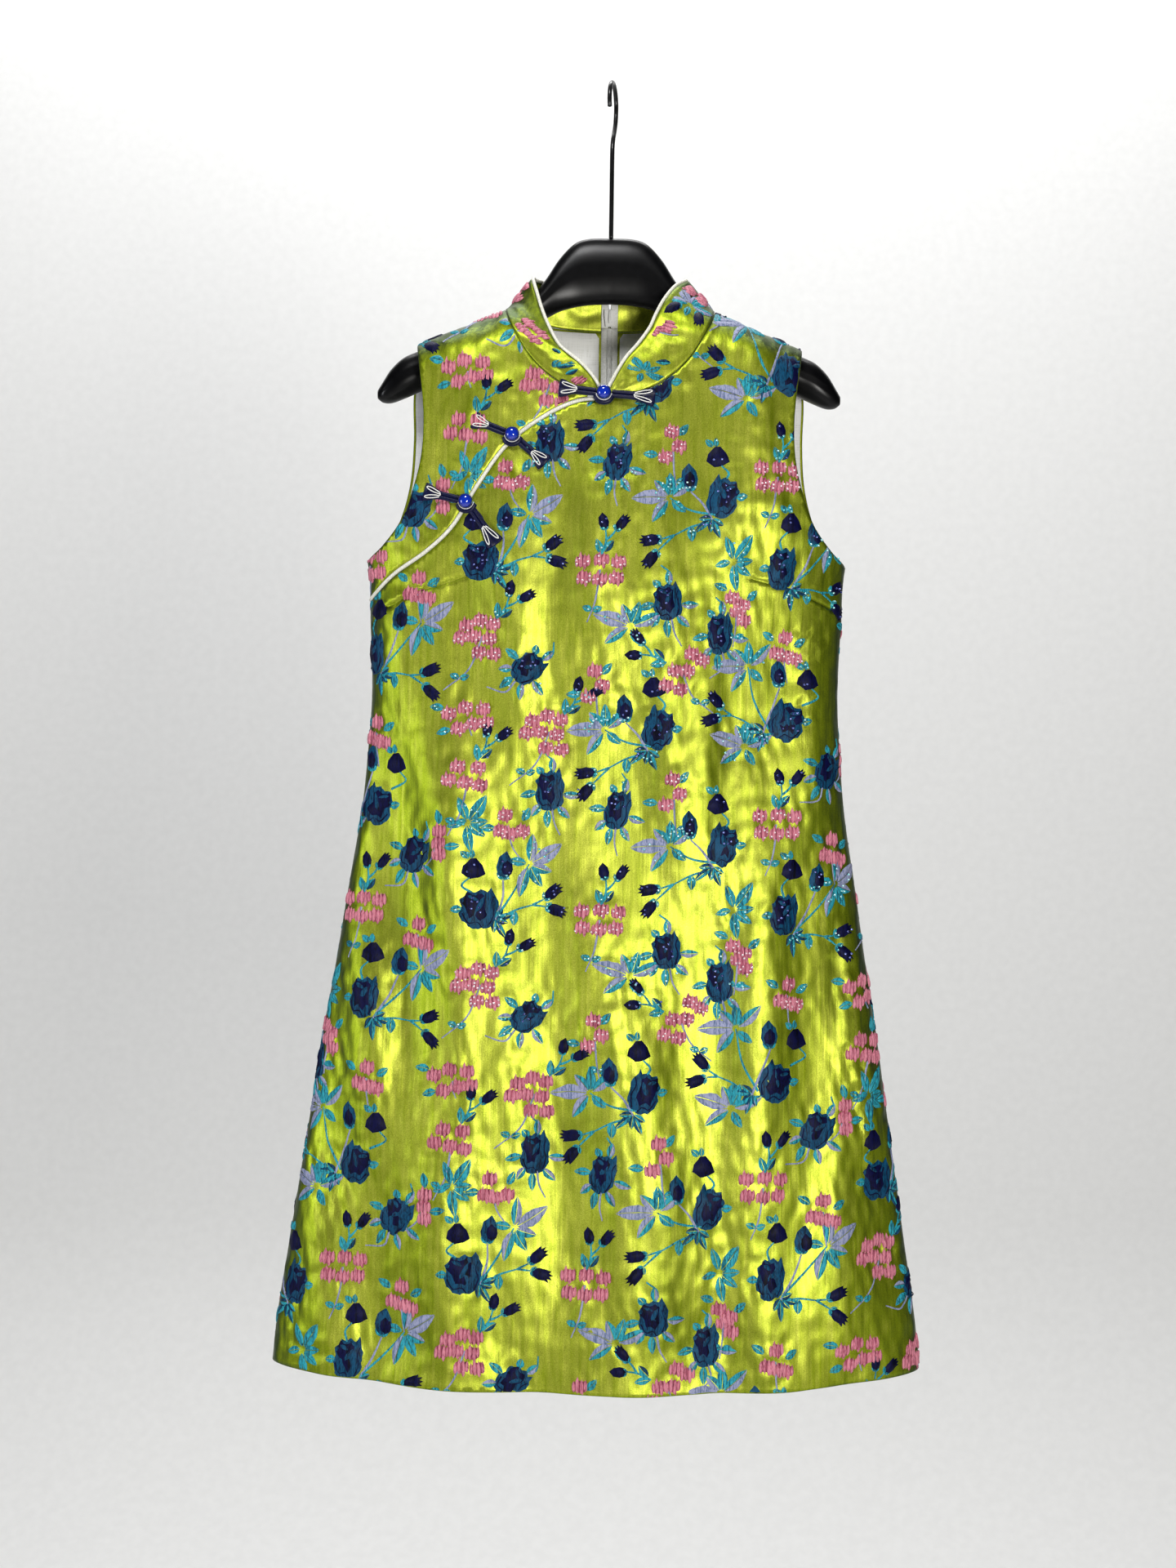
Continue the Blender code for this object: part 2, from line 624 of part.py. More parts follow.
def make_collar(brocade, trim):
    for side, name, line in ((1, "left", COLLAR_LEFT), (-1, "right", COLLAR_RIGHT)):
        collar = Collar(side, line)
        count = round(collar.length / COLLAR_STEP)
        spots = [(i / count, j / COLLAR_ROWS) for i in range(count + 1) for j in range(COLLAR_ROWS + 1)]
        triangles = []
        for i in range(count):
            for j in range(COLLAR_ROWS):
                a = i * (COLLAR_ROWS + 1) + j
                b = a + COLLAR_ROWS + 1
                triangles += [(a, b, b + 1), (a, b + 1, a + 1)]
        if side < 0:
            triangles = [t[::-1] for t in triangles]
        half = COLLAR_WALL / 2
        walled(
            "collar_" + name, spots, triangles,
            lambda spot: collar.face(*spot, half), lambda spot: collar.face(*spot, -half), brocade,
        )
        least_x = collar.start_x + COLLAR_GAP + COLLAR_PIPING_RADIUS
        foot = collar.base(0)
        edge = [collar.turned(least_x, foot.y, foot.z + COLLAR_LIFT + COLLAR_PIPING_RADIUS)]
        for i in range(count + 1):
            middle = collar.piping(i / count)
            nearest = least_x if i < count / 2 else COLLAR_GAP
            edge.append(collar.turned(max(middle.x, nearest), middle.y, middle.z))
        tube("piping_collar_" + name, edge, COLLAR_PIPING_RADIUS, 6, trim)


PIPING_RISE = -0.4  # the middle of the piping, off the form
PIPING_STEP = 9


def make_opening_piping(trim):
    line = curve_through(OPENING, PIPING_STEP)[1:]
    line = [FRONT.at(p.x, p.y, PIPING_RISE) for p in line]
    tube("piping_opening", line, PIPING_RADIUS, 6, trim)


# Frog fasteners: the ball's middle and the two ends, seen from the front: x, z, and how far
# they lie off the form
FROGS = (  # name, ball, wearer's right end, wearer's left end, off the form, ball off the form
    ("collar", (-4.5, -267), (-41, -263), (37, -270), 3.3, 3.1),
    ("chest", (-78, -301.5), (-111, -288.5), (-51, -325), 0.3, 1.3),
    ("side", (-114.5, -356), (-150, -347), (-90, -391), 0.3, 1.5),
)
FROG_THICK = 3.0
BALL_RADIUS, BALL_HALF_HEIGHT = 6.0, 5.0
ARM_START = 6.5  # the arm's end from the ball's middle
ARM_OUTLINE = (  # share of the arm's length, half width
    (0.0, 3.0), (0.25, 3.1), (0.5, 3.2), (0.64, 4.2), (0.78, 6.2), (0.9, 7.6), (0.97, 7.4), (1.0, 5.6),
)
CORD_RADIUS = 0.6
LOOP_START, LOOP_LENGTH = 0.5, 0.42  # shares of the arm's length
LOOP_SPREAD = 0.24  # the loops' lean, as a slope
LOOP_WIDTH = 1.5
LEG_GAP = 0.85  # half the space between a loop's two legs at its root
LOOP_ROOT = 1.9 * LEG_GAP  # each loop's root from the arm's middle
LOOP_CROSSING = 0.7  # the cord crosses over to the second loop this far behind the roots
LOOP_STEPS = 6  # on each leg
ARM_COLUMNS, ARM_ROW = 60, 9


def arm_frame(ball, end):
    along = Vector((end[0] - ball[0], end[1] - ball[1]))
    length = along.length - ARM_START
    along.normalize()
    across = Vector((-along.y, along.x))
    start = Vector(ball) + along * ARM_START
    return start, along, across, length


def arm_body(name, ball, end, off, satin):
    start, along, across, length = arm_frame(ball, end)
    right = [start + along * share * length + across * half for share, half in ARM_OUTLINE]
    left = [start + along * share * length - across * half for share, half in ARM_OUTLINE]
    outline = [FRONT.place(p.x, p.y) for p in right + left[::-1]]
    cloth_piece(
        name, FRONT, outline, satin, outer=off + FROG_THICK, wall=FROG_THICK,
        columns=ARM_COLUMNS, row=ARM_ROW, roll_row=ARM_ROW,
    )


def arm_loops(name, ball, end, off, trim):
    """One thin cord that runs out and back twice, as two long loops side by side."""
    start, along, across, length = arm_frame(ball, end)
    reach = LOOP_LENGTH * length
    line = []
    for side in (1, -1):
        for i in range(2 * LOOP_STEPS + 1):
            turn = pi * i / LOOP_STEPS
            out = reach * (1 - cos(turn)) / 2
            root = side * (LOOP_ROOT + out * LOOP_SPREAD)
            leg = side * (1 if i <= LOOP_STEPS else -1)
            wide = leg * (LEG_GAP * (1 - out / reach) + LOOP_WIDTH * abs(sin(turn)) * sqrt(out / reach))
            line.append((LOOP_START * length + out, root + wide))
        if side > 0:
            line.append((LOOP_START * length - LOOP_CROSSING, 0.0))
    flat = [start + along * a + across * b for a, b in line]
    lift = off + FROG_THICK + SEAM_GAP + CORD_RADIUS
    tube(name, [FRONT.at(p.x, p.y, lift) for p in flat], CORD_RADIUS, 4, trim)


def make_ball(name, middle, off, glass):
    turn, drop = FRONT.place(*middle)
    out = FRONT.normal(turn, drop)
    centre = FRONT.point(turn, drop) + out * (off + BALL_HALF_HEIGHT)
    bpy.ops.mesh.primitive_uv_sphere_add(segments=12, ring_count=8, radius=1)
    ball = bpy.context.object
    ball.name = ball.data.name = name
    turned = out.to_track_quat("Z", "Y").to_matrix().to_4x4()
    scale = Matrix.Diagonal((BALL_RADIUS, BALL_RADIUS, BALL_HALF_HEIGHT, 1))
    ball.data.transform(Matrix.Scale(MM, 4) @ Matrix.Translation(centre) @ turned @ scale)
    ball.data.materials.append(glass)
    ball.data.shade_smooth()


def make_frogs(satin, trim, glass):
    for name, ball, right_end, left_end, off, ball_off in FROGS:
        for side, end in (("right", right_end), ("left", left_end)):
            arm_body(f"frog_{name}_{side}_arm", ball, end, off, satin)
            arm_loops(f"frog_{name}_{side}_loops", ball, end, off, trim)
        make_ball(f"frog_{name}_ball", ball, ball_off, glass)


# The concealed zip in the centre back, closed, with its slider at the top
ZIP_HALF_TAPE, ZIP_TAPE = 6.9, 0.8
ZIP_COIL_HALF, ZIP_COIL, ZIP_COIL_CREST = 2.4, 1.4, 0.6  # half width, height, share that is flat
ZIP_EASE = 0.9  # from the cloth's inner side to the tape
ZIP_TOP_Z, ZIP_CHAIN_TOP_Z, ZIP_BOTTOM_Z = -166, -196, -640
ZIP_NECK_CLEAR = 4  # the chain passes the neck seam as if it were this much lower
TAPE_END_HALF_SLOT, TAPE_END_ROW = 1.2, 10
SLIDER_Z = -187  # of the hole that carries the pull
SLIDER_UP, SLIDER_WAIST, SLIDER_DOWN = 6.5, 1.0, 7.5  # the slider's body, from the hole
SLIDER_LEAN_REACH = 5  # the collar's lean is measured this far above and below the hole
SLIDER_HALF_TOP, SLIDER_HALF_FOOT, SLIDER_BODY = 4.6, 3.3, 2.6
SLIDER_NECK_HALF, SLIDER_NECK_UP, SLIDER_NECK_DOWN = 0.45, 3.0, 2.0
NECK_IN_BODY, NECK_IN_LUG = 1.0, 0.4  # how far the neck runs into each
LUG_HALF, LUG_FACE_GAP, LUG_DEPTH, LUG_UP = 1.5, 0.5, 3.2, 2.9
LUG_HOLE = 1.15
PULL_THICK, PULL_HALF_TOP, PULL_HALF_FOOT, PULL_LENGTH = 1.2, 2.9, 3.6, 25
PULL_WINDOW_HALF, PULL_WINDOW = 1.9, 5.6  # the opening that the slider's lug stands in
PULL_FOOT_STEPS = 6


def centre_back(z):
    """The outer side of the dress at the centre back, body or collar."""
    seam_z = BACK_NECK[0][1]
    if z < seam_z:
        return BACK.at(0, z).y
    base, top = BACK.at(0, seam_z).y, COLLAR_BACK[-1][2]
    share = (z - seam_z) / (COLLAR_BACK[-1][3] - seam_z)
    return base + (top - base) * share + COLLAR_BOW * 4 * share * (1 - share) + COLLAR_WALL / 2


def inside_back(z):
    """The middle of the back's inner side, where the zip's tape lies."""
    wall = COLLAR_WALL if z > BACK_NECK[0][1] else SHELL
    return centre_back(z) - wall - ZIP_EASE


def spread_rows(z_top, z_bottom, step):
    count = ceil((z_top - z_bottom) / step)
    return [z_top + (z_bottom - z_top) * i / count for i in range(count + 1)]


def make_zip_chain(finish):
    """The closed coils on their two tapes, below the slider."""
    rings = []
    crest = ZIP_COIL_HALF * ZIP_COIL_CREST
    for z in spread_rows(ZIP_CHAIN_TOP_Z, ZIP_BOTTOM_Z, ROW / 2):
        outer = min(inside_back(z), inside_back(min(z, BACK_NECK[0][1]) - ZIP_NECK_CLEAR))
        inner = outer - ZIP_TAPE
        coil = inner - ZIP_COIL
        rings.append([Vector(p) for p in (
            (-ZIP_HALF_TAPE, outer, z), (ZIP_HALF_TAPE, outer, z), (ZIP_HALF_TAPE, inner, z),
            (ZIP_COIL_HALF, inner, z), (crest, coil, z), (-crest, coil, z),
            (-ZIP_COIL_HALF, inner, z), (-ZIP_HALF_TAPE, inner, z),
        )])
    loft("zip_chain", rings, finish)


def make_tape_ends(finish):
    for side, name in ((1, "left"), (-1, "right")):
        rings = []
        for z in spread_rows(ZIP_TOP_Z, ZIP_CHAIN_TOP_Z + SEAM_GAP, TAPE_END_ROW):
            outer = min(inside_back(z), centre_back(z) - COLLAR_WALL - ZIP_EASE)
            near, far = TAPE_END_HALF_SLOT, ZIP_HALF_TAPE
            low, high = (near, far) if side > 0 else (-far, -near)
            rings.append([
                Vector((low, outer, z)), Vector((high, outer, z)),
                Vector((high, outer - ZIP_TAPE, z)), Vector((low, outer - ZIP_TAPE, z)),
            ])
        loft("zip_tape_end_" + name, rings, finish)


def block(name, low, high, finish):
    """A box between two corners."""
    (x0, y0, z0), (x1, y1, z1) = low, high
    rings = [[(x0, y1, z), (x1, y1, z), (x1, y0, z), (x0, y0, z)] for z in (z1, z0)]
    return loft(name, [[Vector(p) for p in ring] for ring in rings], finish)


def cut_or_fuse(target, operation, tools):
    for tool in tools:
        tool.hide_render = True
        tool.display_type = "WIRE"
        tool.parent = target
        change = target.modifiers.new(operation.title(), "BOOLEAN")
        change.operation = operation
        change.object = tool


def make_slider(finish):
    """The slider's body lies inside the collar. A thin neck passes between the collar's two ends
    to the lug outside, which the pull's top bar hangs in. It is modelled upright, with y = 0 on
    the collar's outer side, and then leaned to lie along the collar."""
    body_y = -COLLAR_WALL - ZIP_EASE - ZIP_TAPE - SEAM_GAP
    rings = []
    for half, z in (
        (SLIDER_HALF_TOP, SLIDER_UP), (SLIDER_HALF_TOP, SLIDER_WAIST), (SLIDER_HALF_FOOT, -SLIDER_DOWN),
    ):
        rings.append([
            Vector((-half, body_y, z)), Vector((half, body_y, z)),
            Vector((half, body_y - SLIDER_BODY, z)), Vector((-half, body_y - SLIDER_BODY, z)),
        ])
    slider = loft("zip_slider", rings, finish)
    neck = block(
        "slider_neck", (-SLIDER_NECK_HALF, body_y - NECK_IN_BODY, -SLIDER_NECK_DOWN),
        (SLIDER_NECK_HALF, LUG_FACE_GAP + NECK_IN_LUG, SLIDER_NECK_UP), finish,
    )
    lug = block(
        "slider_lug", (-LUG_HALF, LUG_FACE_GAP, -LUG_UP),
        (LUG_HALF, LUG_FACE_GAP + LUG_DEPTH, LUG_UP), finish,
    )
    bpy.ops.mesh.primitive_cylinder_add(
        vertices=16, radius=LUG_HOLE * MM, depth=4 * LUG_HALF * MM,
        location=(0, (LUG_FACE_GAP + LUG_DEPTH / 2) * MM, 0), rotation=(0, pi / 2, 0),
    )
    hole = bpy.context.object
    hole.name = "slider_hole"
    cut_or_fuse(slider, "UNION", [neck, lug])
    cut_or_fuse(slider, "DIFFERENCE", [hole])
    above, below = SLIDER_Z + SLIDER_LEAN_REACH, SLIDER_Z - SLIDER_LEAN_REACH
    lean = atan2(centre_back(below) - centre_back(above), above - below)
    slider.location = Vector((0, centre_back(SLIDER_Z), SLIDER_Z)) * MM
    slider.rotation_euler = (lean, 0, 0)
    bpy.context.view_layer.update()
    return slider.matrix_world @ (Vector((0, LUG_FACE_GAP + LUG_DEPTH / 2, 0)) * MM)


def make_pull(pivot, finish):
    """A flat tab with a window at its top. The bar over the window runs through the lug's hole,
    and is the hinge. Its origin is on that hinge's axis."""
    half = PULL_THICK / 2
    rings = []
    foot = PULL_LENGTH - PULL_HALF_FOOT
    outline = [(PULL_HALF_TOP, half), (PULL_HALF_TOP, -PULL_WINDOW), (PULL_HALF_FOOT, -foot)]
    for i in range(1, PULL_FOOT_STEPS):
        angle = pi / 2 * i / PULL_FOOT_STEPS
        outline.append((PULL_HALF_FOOT * cos(angle), -foot - PULL_HALF_FOOT * sin(angle)))
    for width, z in outline:
        ring = ((-width, half, z), (width, half, z), (width, -half, z), (-width, -half, z))
        rings.append([Vector(p) for p in ring])
    pull = loft("zip_pull", rings, finish)
    window = block(
        "pull_window", (-PULL_WINDOW_HALF, -PULL_THICK, -PULL_WINDOW),
        (PULL_WINDOW_HALF, PULL_THICK, -half), finish,
    )
    cut_or_fuse(pull, "DIFFERENCE", [window])
    pull.location = pivot


# Hanger: x, top z, bottom z, half depth of each section
HANGER_SECTIONS = (
    (0, -128, -183, 10), (18, -128.6, -184, 10), (30, -132.5, -186, 10), (43, -146, -190, 10.5),
    (54, -163, -196, 11), (65, -177, -202.5, 11.5), (76, -188.8, -209, 13), (87, -195.0, -216, 15.5),
    (105, -202.4, -228, 17), (125, -210.6, -240, 17), (145, -218.8, -251.5, 16),
    (160, -224.9, -259, 15), (172, -230.5, -264.5, 14.5), (182, -240, -268, 12),
    (189, -251, -267.5, 8.5), (193, -257.5, -264.5, 4),
)
HANGER_SIDES = 16
HANGER_STEP = 9.2  # between the rings of its mesh
HANGER_SQUARENESS = 2.1
HOOK_RADIUS = 1.9
HOOK_CROWN_RADIUS = 17  # of the wire's middle
HOOK_SHANK = (  # along the hook's own plane, z
    (0.0, -127.6), (0.0, -100), (0.0, -75), (0.0, -58), (0.6, -52), (3.2, -44.5), (8.5, -37),
    (13.6, -29), (16.4, -21),
)
HOOK_START, HOOK_TURN, HOOK_POINTS = -0.12, pi + 0.55, 12  # of the crown, in radians
HOOK_YAW = 80 * pi / 180  # from the hanger's own plane


def superellipse(angle, half_wide, half_high, squareness):
    c, s = cos(angle), sin(angle)
    grow = (abs(c) ** squareness + abs(s) ** squareness) ** (-1 / squareness)
    return c * grow * half_wide, s * grow * half_high


def make_hanger(plastic, wire):
    reach = HANGER_SECTIONS[-1][0]
    count = 2 * round(reach / HANGER_STEP)
    rings = []
    for i in range(count + 1):
        x = reach * (2 * i / count - 1)
        top, bottom, half_depth = [spline(HANGER_SECTIONS, abs(x), column) for column in (1, 2, 3)]
        middle, half = (top + bottom) / 2, (top - bottom) / 2
        ring = []
        for k in range(HANGER_SIDES):
            y, z = superellipse(2 * pi * k / HANGER_SIDES, half_depth, half, HANGER_SQUARENESS)
            ring.append(Vector((x, y, middle + z)))
        rings.append(ring)
    loft("hanger_body", rings, plastic)

    middle_z = HOOK_RADIUS - HOOK_CROWN_RADIUS
    line = list(HOOK_SHANK)
    for i in range(HOOK_POINTS):
        angle = HOOK_START + HOOK_TURN * i / (HOOK_POINTS - 1)
        line.append((HOOK_CROWN_RADIUS * cos(angle), middle_z + HOOK_CROWN_RADIUS * sin(angle)))
    points = [(a * cos(HOOK_YAW), a * sin(HOOK_YAW), z) for a, z in line]
    tube("hanger_hook", points, HOOK_RADIUS, 8, wire)


def main():
    clear_scene()
    brocade = material("brocade", (0.50, 0.56, 0.02), 0.38)
    satin_white = material("white_satin", (0.80, 0.80, 0.74), 0.5)
    satin_navy = material("navy_satin", (0.01, 0.012, 0.06), 0.4)
    glass = material("blue_glass", (0.01, 0.05, 0.5), 0.05)
    lining = material("white_lining", (0.70, 0.70, 0.68), 0.7)
    zip_white = material("white_zip", (0.75, 0.75, 0.72), 0.45)
    slider_white = material("white_enamel", (0.85, 0.85, 0.83), 0.3)
    plastic = material("black_plastic", (0.008, 0.008, 0.008), 0.25)
    wire = material("black_wire", (0.01, 0.01, 0.01), 0.4, metallic=0.6)
    make_front(brocade)
    make_back(brocade)
    make_collar(brocade, satin_white)
    make_opening_piping(satin_white)
    make_lining(lining)
    make_frogs(satin_navy, satin_white, glass)
    make_zip_chain(zip_white)
    make_tape_ends(zip_white)
    pivot = make_slider(slider_white)
    make_pull(pivot, slider_white)
    make_hanger(plastic, wire)


main()
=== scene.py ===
# A sleeveless A-line cheongsam in flowered satin brocade, on a broad black plastic hanger.
# The CAD solids fix every place and size. This script dresses them: the cloth with its puckers and
# woven flowers, the beads sewn over them, the piping, the frog fasteners, the zip, the lining and
# the hanger. Sizes are in millimetres and are turned to metres as each mesh is made.

from math import ceil, cos, pi, radians, sin, sqrt, tan

import bpy
import numpy as np
from mathutils import Matrix, Vector
from mathutils.geometry import delaunay_2d_cdt
from mathutils.kdtree import KDTree


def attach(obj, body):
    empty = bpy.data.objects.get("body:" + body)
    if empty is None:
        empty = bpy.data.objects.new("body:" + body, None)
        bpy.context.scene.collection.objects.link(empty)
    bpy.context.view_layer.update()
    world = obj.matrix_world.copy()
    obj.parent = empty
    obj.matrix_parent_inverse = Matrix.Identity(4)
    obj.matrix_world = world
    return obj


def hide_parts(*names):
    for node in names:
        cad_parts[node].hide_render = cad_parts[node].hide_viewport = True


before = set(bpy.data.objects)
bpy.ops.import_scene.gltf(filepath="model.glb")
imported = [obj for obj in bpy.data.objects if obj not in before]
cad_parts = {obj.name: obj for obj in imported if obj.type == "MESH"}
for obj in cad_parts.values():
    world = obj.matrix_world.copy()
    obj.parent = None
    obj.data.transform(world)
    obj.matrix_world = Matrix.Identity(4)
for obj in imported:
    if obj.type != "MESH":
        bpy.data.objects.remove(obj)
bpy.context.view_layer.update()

# ---- Brocade ----------------------------------------------------------------------------------
# The dress is cut from one cloth: a chartreuse satin brocade, with flowers woven into it as padded
# floats. Each cut piece shows its own part of the cloth's repeat.

MM = 0.001


def linear(code):
    """A Blender colour from an sRGB code."""
    parts = [int(code[i : i + 2], 16) / 255 for i in (1, 3, 5)]
    return [p / 12.92 if p <= 0.04045 else ((p + 0.055) / 1.055) ** 2.4 for p in parts] + [1.0]


def set_inputs(tree, node, inputs):
    """Gives each input its value, or links it to a socket or to a node's first output."""
    for key, value in dict(inputs).items():
        if isinstance(value, bpy.types.Node):
            value = value.outputs[0]
        if isinstance(value, bpy.types.NodeSocket):
            tree.links.new(value, node.inputs[key])
        else:
            node.inputs[key].default_value = value


def add_node(tree, kind, inputs=(), stops=(), **settings):
    """A shader node with its settings, its inputs and, for a colour ramp, its stops."""
    made = tree.nodes.new("ShaderNode" + kind)
    for name, value in settings.items():
        setattr(made, name, value)
    set_inputs(tree, made, inputs)
    for i, (place, code) in enumerate(stops):
        stop = made.color_ramp.elements[i] if i < 2 else made.color_ramp.elements.new(place)
        stop.position, stop.color = place, linear(code)
    return made


def new_material(name):
    """A material, its node tree and the shader of its surface."""
    made = bpy.data.materials.new(name)
    made.use_nodes = True
    return made, made.node_tree, made.node_tree.nodes["Principled BSDF"]


def crests(tree, across, down, detail=2.0):
    """Noise with its crests this far apart in millimetres: across for x and y, down for z."""
    place = add_node(tree, "TexCoord").outputs["Object"]
    size = (1 / (across * MM), 1 / (across * MM), 1 / (down * MM))
    spot = add_node(tree, "Mapping", {"Vector": place, "Scale": size})
    return add_node(tree, "TexNoise", {"Vector": spot, "Scale": 1.0, "Detail": detail})


def grained(name, across, down, stops, look, bump=None, detail=2.0):
    """A material in two colours by one noise, which also raises it where bump gives the strength
    and height."""
    made, tree, shader = new_material(name)
    grain = crests(tree, across, down, detail)
    inputs = {"Base Color": add_node(tree, "ValToRGB", {0: grain}, stops), **look}
    if bump:
        heights = {"Strength": bump[0], "Distance": bump[1], "Height": grain}
        inputs["Normal"] = add_node(tree, "Bump", heights)
    set_inputs(tree, shader, inputs)
    return made


def brocade_ground():
    """Satin ground, with painted shade: its colour runs from pale yellow where the cloth faces the
    view to dark olive where it turns away from it, with faint streaks down the warp and a fine
    grain."""
    made, tree, shader = new_material("satin brocade")
    streak, blotch = crests(tree, 2.8, 110, 3.0), crests(tree, 46, 90)
    grain = crests(tree, 0.8, 0.6)
    # painted shade: the colour darkens from pale yellow to olive as the cloth turns away from the
    # view
    facing = add_node(tree, "LayerWeight", {"Blend": 0.42}).outputs["Facing"]
    uneven = add_node(tree, "Math", {0: streak, 1: 0.42}, operation="MULTIPLY")
    turn = add_node(tree, "Math", {0: facing, 1: uneven}, operation="ADD")
    stops = (0.15, "#DDE358"), (0.4, "#AEC01C"), (0.7, "#465F02")
    colour = add_node(tree, "ValToRGB", {0: turn}, stops)
    for layer, dark in ((blotch, "#D2D6BC"), (grain, "#C6C9AA")):
        shade = add_node(tree, "ValToRGB", {0: layer}, ((0.3, dark), (0.68, "#FFFFFF")))
        layers = {0: 1.0, 6: colour, 7: shade}
        mixed = add_node(tree, "Mix", layers, data_type="RGBA", blend_type="MULTIPLY")
        colour = mixed.outputs[2]
    bump = add_node(tree, "Bump", {"Strength": 0.25, "Distance": 0.0002, "Height": grain})
    ribs = {"Strength": 0.4, "Distance": 0.0005, "Height": streak, "Normal": bump}
    set_inputs(tree, shader, {
        "Base Color": colour, "Roughness": 0.44, "Metallic": 0.78, "Anisotropic": 0.4,
        "Sheen Weight": 0.1, "Sheen Roughness": 0.4, "Normal": add_node(tree, "Bump", ribs)})
    return made


BROCADE = brocade_ground()

# ---- Woven flowers ----------------------------------------------------------------------------
# The flowers are woven into the brocade as padded floats: navy and teal roses and buds, pink
# florets, and turquoise and lilac leaves on thin stems. The same chart repeats over the cloth, so
# every cut piece shows a different part of it. They are drawn here from simple petals, leaves, buds
# and stems, as raised patches that follow the cloth.

NAVY, TEAL, TURQUOISE, LILAC, PINK, PINK_SHADE = range(6)  # each thread's place in THREADS


def woven_thread(name, light, dark, rib, deep=0.5, gloss=0.25):
    """Padded satin floats: uneven ribs of thread down the cloth, with painted light on top of each
    rib and painted shade between them.
    """
    made, tree, shader = new_material(name)
    rows, thread = crests(tree, rib, 26, 1.0), crests(tree, 0.7, 3.0)
    both = add_node(tree, "Math", {0: rows, 1: thread}, operation="MULTIPLY")
    bump = add_node(tree, "Bump", {"Strength": deep, "Distance": 0.0008, "Height": both})
    # painted shade: the same heights that raise the ribs darken the colour in the dips between them
    set_inputs(tree, shader, {
        "Base Color": add_node(tree, "ValToRGB", {0: both}, ((0.13, dark), (0.3, light))),
        "Roughness": 0.5, "Specular IOR Level": gloss, "Normal": bump})
    return made


# each silk's light colour lies on top of its ribs, and its dark colour is painted shade between
# them
THREADS = [
    woven_thread("navy silk", "#0A0C3C", "#020310", 2.6, 0.5, 0.12),
    woven_thread("teal silk", "#0E4C70", "#04182E", 2.0, 0.5, 0.16),
    woven_thread("turquoise silk", "#2CA6B8", "#064458", 1.5),
    woven_thread("lilac silk", "#A0A4C4", "#586A8E", 1.5),
    woven_thread("pink silk", "#DE8C9E", "#9C4A60", 2.4, 0.9),
    # darker pink silk laid under the florets as painted shade between their ribs
    woven_thread("pink silk painted shade", "#A84E66", "#5E1E38", 2.4),
]


def turned(points, degrees, move=(0, 0)):
    angle = radians(degrees)
    spin = np.array(((cos(angle), sin(angle)), (-sin(angle), cos(angle))))
    return np.array(points, float) @ spin + move


def moved(shapes, degrees=0.0, move=(0, 0), flip=1):
    """Shapes turned, then moved, after being mirrored left to right if flip is -1."""
    return [(turned(s[0] * (flip, 1), degrees, move), *s[1:]) for s in shapes]


def patch(outline, wide, tall, colour, lift=0.0, dome=1.0, degrees=0.0, move=(0, 0)):
    """One raised patch. Its outline is given in halves of its width and height."""
    outline = np.array(outline, float) * (wide / 2, tall / 2)
    return moved([(outline, colour, lift, dome)], degrees, move)


def leaf(base, degrees, length, width, colours=(2, 2), bend=0.12):
    """A pointed leaf in two halves, each in its own thread, with a groove along the midrib."""
    along = np.array((0, 0.16, 0.38, 0.62, 0.84, 1.0))
    half = np.array((0.14, 0.66, 1.0, 0.9, 0.5, 0.0)) * width / 2
    rib = np.stack([along * length, bend * length * along**2], axis=1)
    halves = []
    for side, colour in zip((1, -1), colours):
        edge = rib + np.stack([0 * half, side * half], axis=1)
        outline = np.concatenate([rib + (0, side * 0.12), edge[-2::-1]])
        halves.append((turned(outline, degrees, base), colour, 0.0, 0.9))
    return halves


def stem(*points, colour=TURQUOISE, width=2.3):
    """A thin stem, which is marked by its width in place of a dome."""
    return [(np.array(points, float), colour, "stem", width)]


BUD = (
    (-1, 0), (-0.7, -0.75), (-0.2, -1), (0.4, -0.85), (1, -0.1), (0.5, 0.8), (-0.2, 1),
    (-0.7, 0.75),
)
FRAYED_BUD = (
    (-1, 0), (-0.7, -0.7), (-0.1, -0.95), (0.45, -0.8), (0.85, -0.95), (0.66, -0.45), (1.06, -0.35),
    (0.74, 0.05), (1.1, 0.3), (0.66, 0.5), (0.8, 0.9), (0.3, 0.95), (-0.3, 0.9), (-0.75, 0.6),
)
KITE_BUD = (
    (-1, -0.45), (-0.86, 0.25), (-0.3, 0.95), (0.2, 1), (0.72, 0.35), (1, -0.5), (0.45, -0.85),
    (-0.3, -1),
)
FLORET = (
    (-1, 0.15), (-0.84, 0.7), (-0.4, 0.66), (-0.12, 1.05), (0.26, 0.78), (0.7, 0.9), (1, 0.3),
    (0.82, -0.15), (1, -0.6), (0.58, -1), (0.26, -0.72), (-0.06, -1.12), (-0.38, -0.78),
    (-0.8, -0.95), (-0.78, -0.4),
)
ROSE_EDGE = (
    (-0.6, 0.92), (-0.24, 0.84), (0.06, 1.02), (0.4, 0.86), (0.62, 1.12), (0.8, 0.74), (1, 0.4),
    (0.93, -0.08), (0.98, -0.42), (0.66, -0.82), (0.24, -0.95), (-0.16, -1), (-0.56, -0.9),
    (-0.88, -0.6), (-1.04, -0.2), (-0.88, 0.12), (-1, 0.46), (-0.74, 0.66),
)
ROSE_HEART = (
    (-0.62, 0.8), (-0.2, 0.72), (0.14, 0.84), (0.4, 0.6), (0.34, 0.1), (0.46, -0.3), (0.1, -0.62),
    (-0.22, -0.4), (-0.52, -0.5), (-0.62, -0.05), (-0.84, 0.3),
)


def bud(base, degrees, length, width, outline=BUD, colour=NAVY):
    middle = turned([(length / 2, 0)], degrees, base)[0]
    shapes = patch(outline, length, width, colour, 0.1, 1.5, degrees, middle)
    for side in (1, -1):
        shapes += leaf(base, degrees + 40 * side, length * 0.36, width * 0.34)
    return shapes


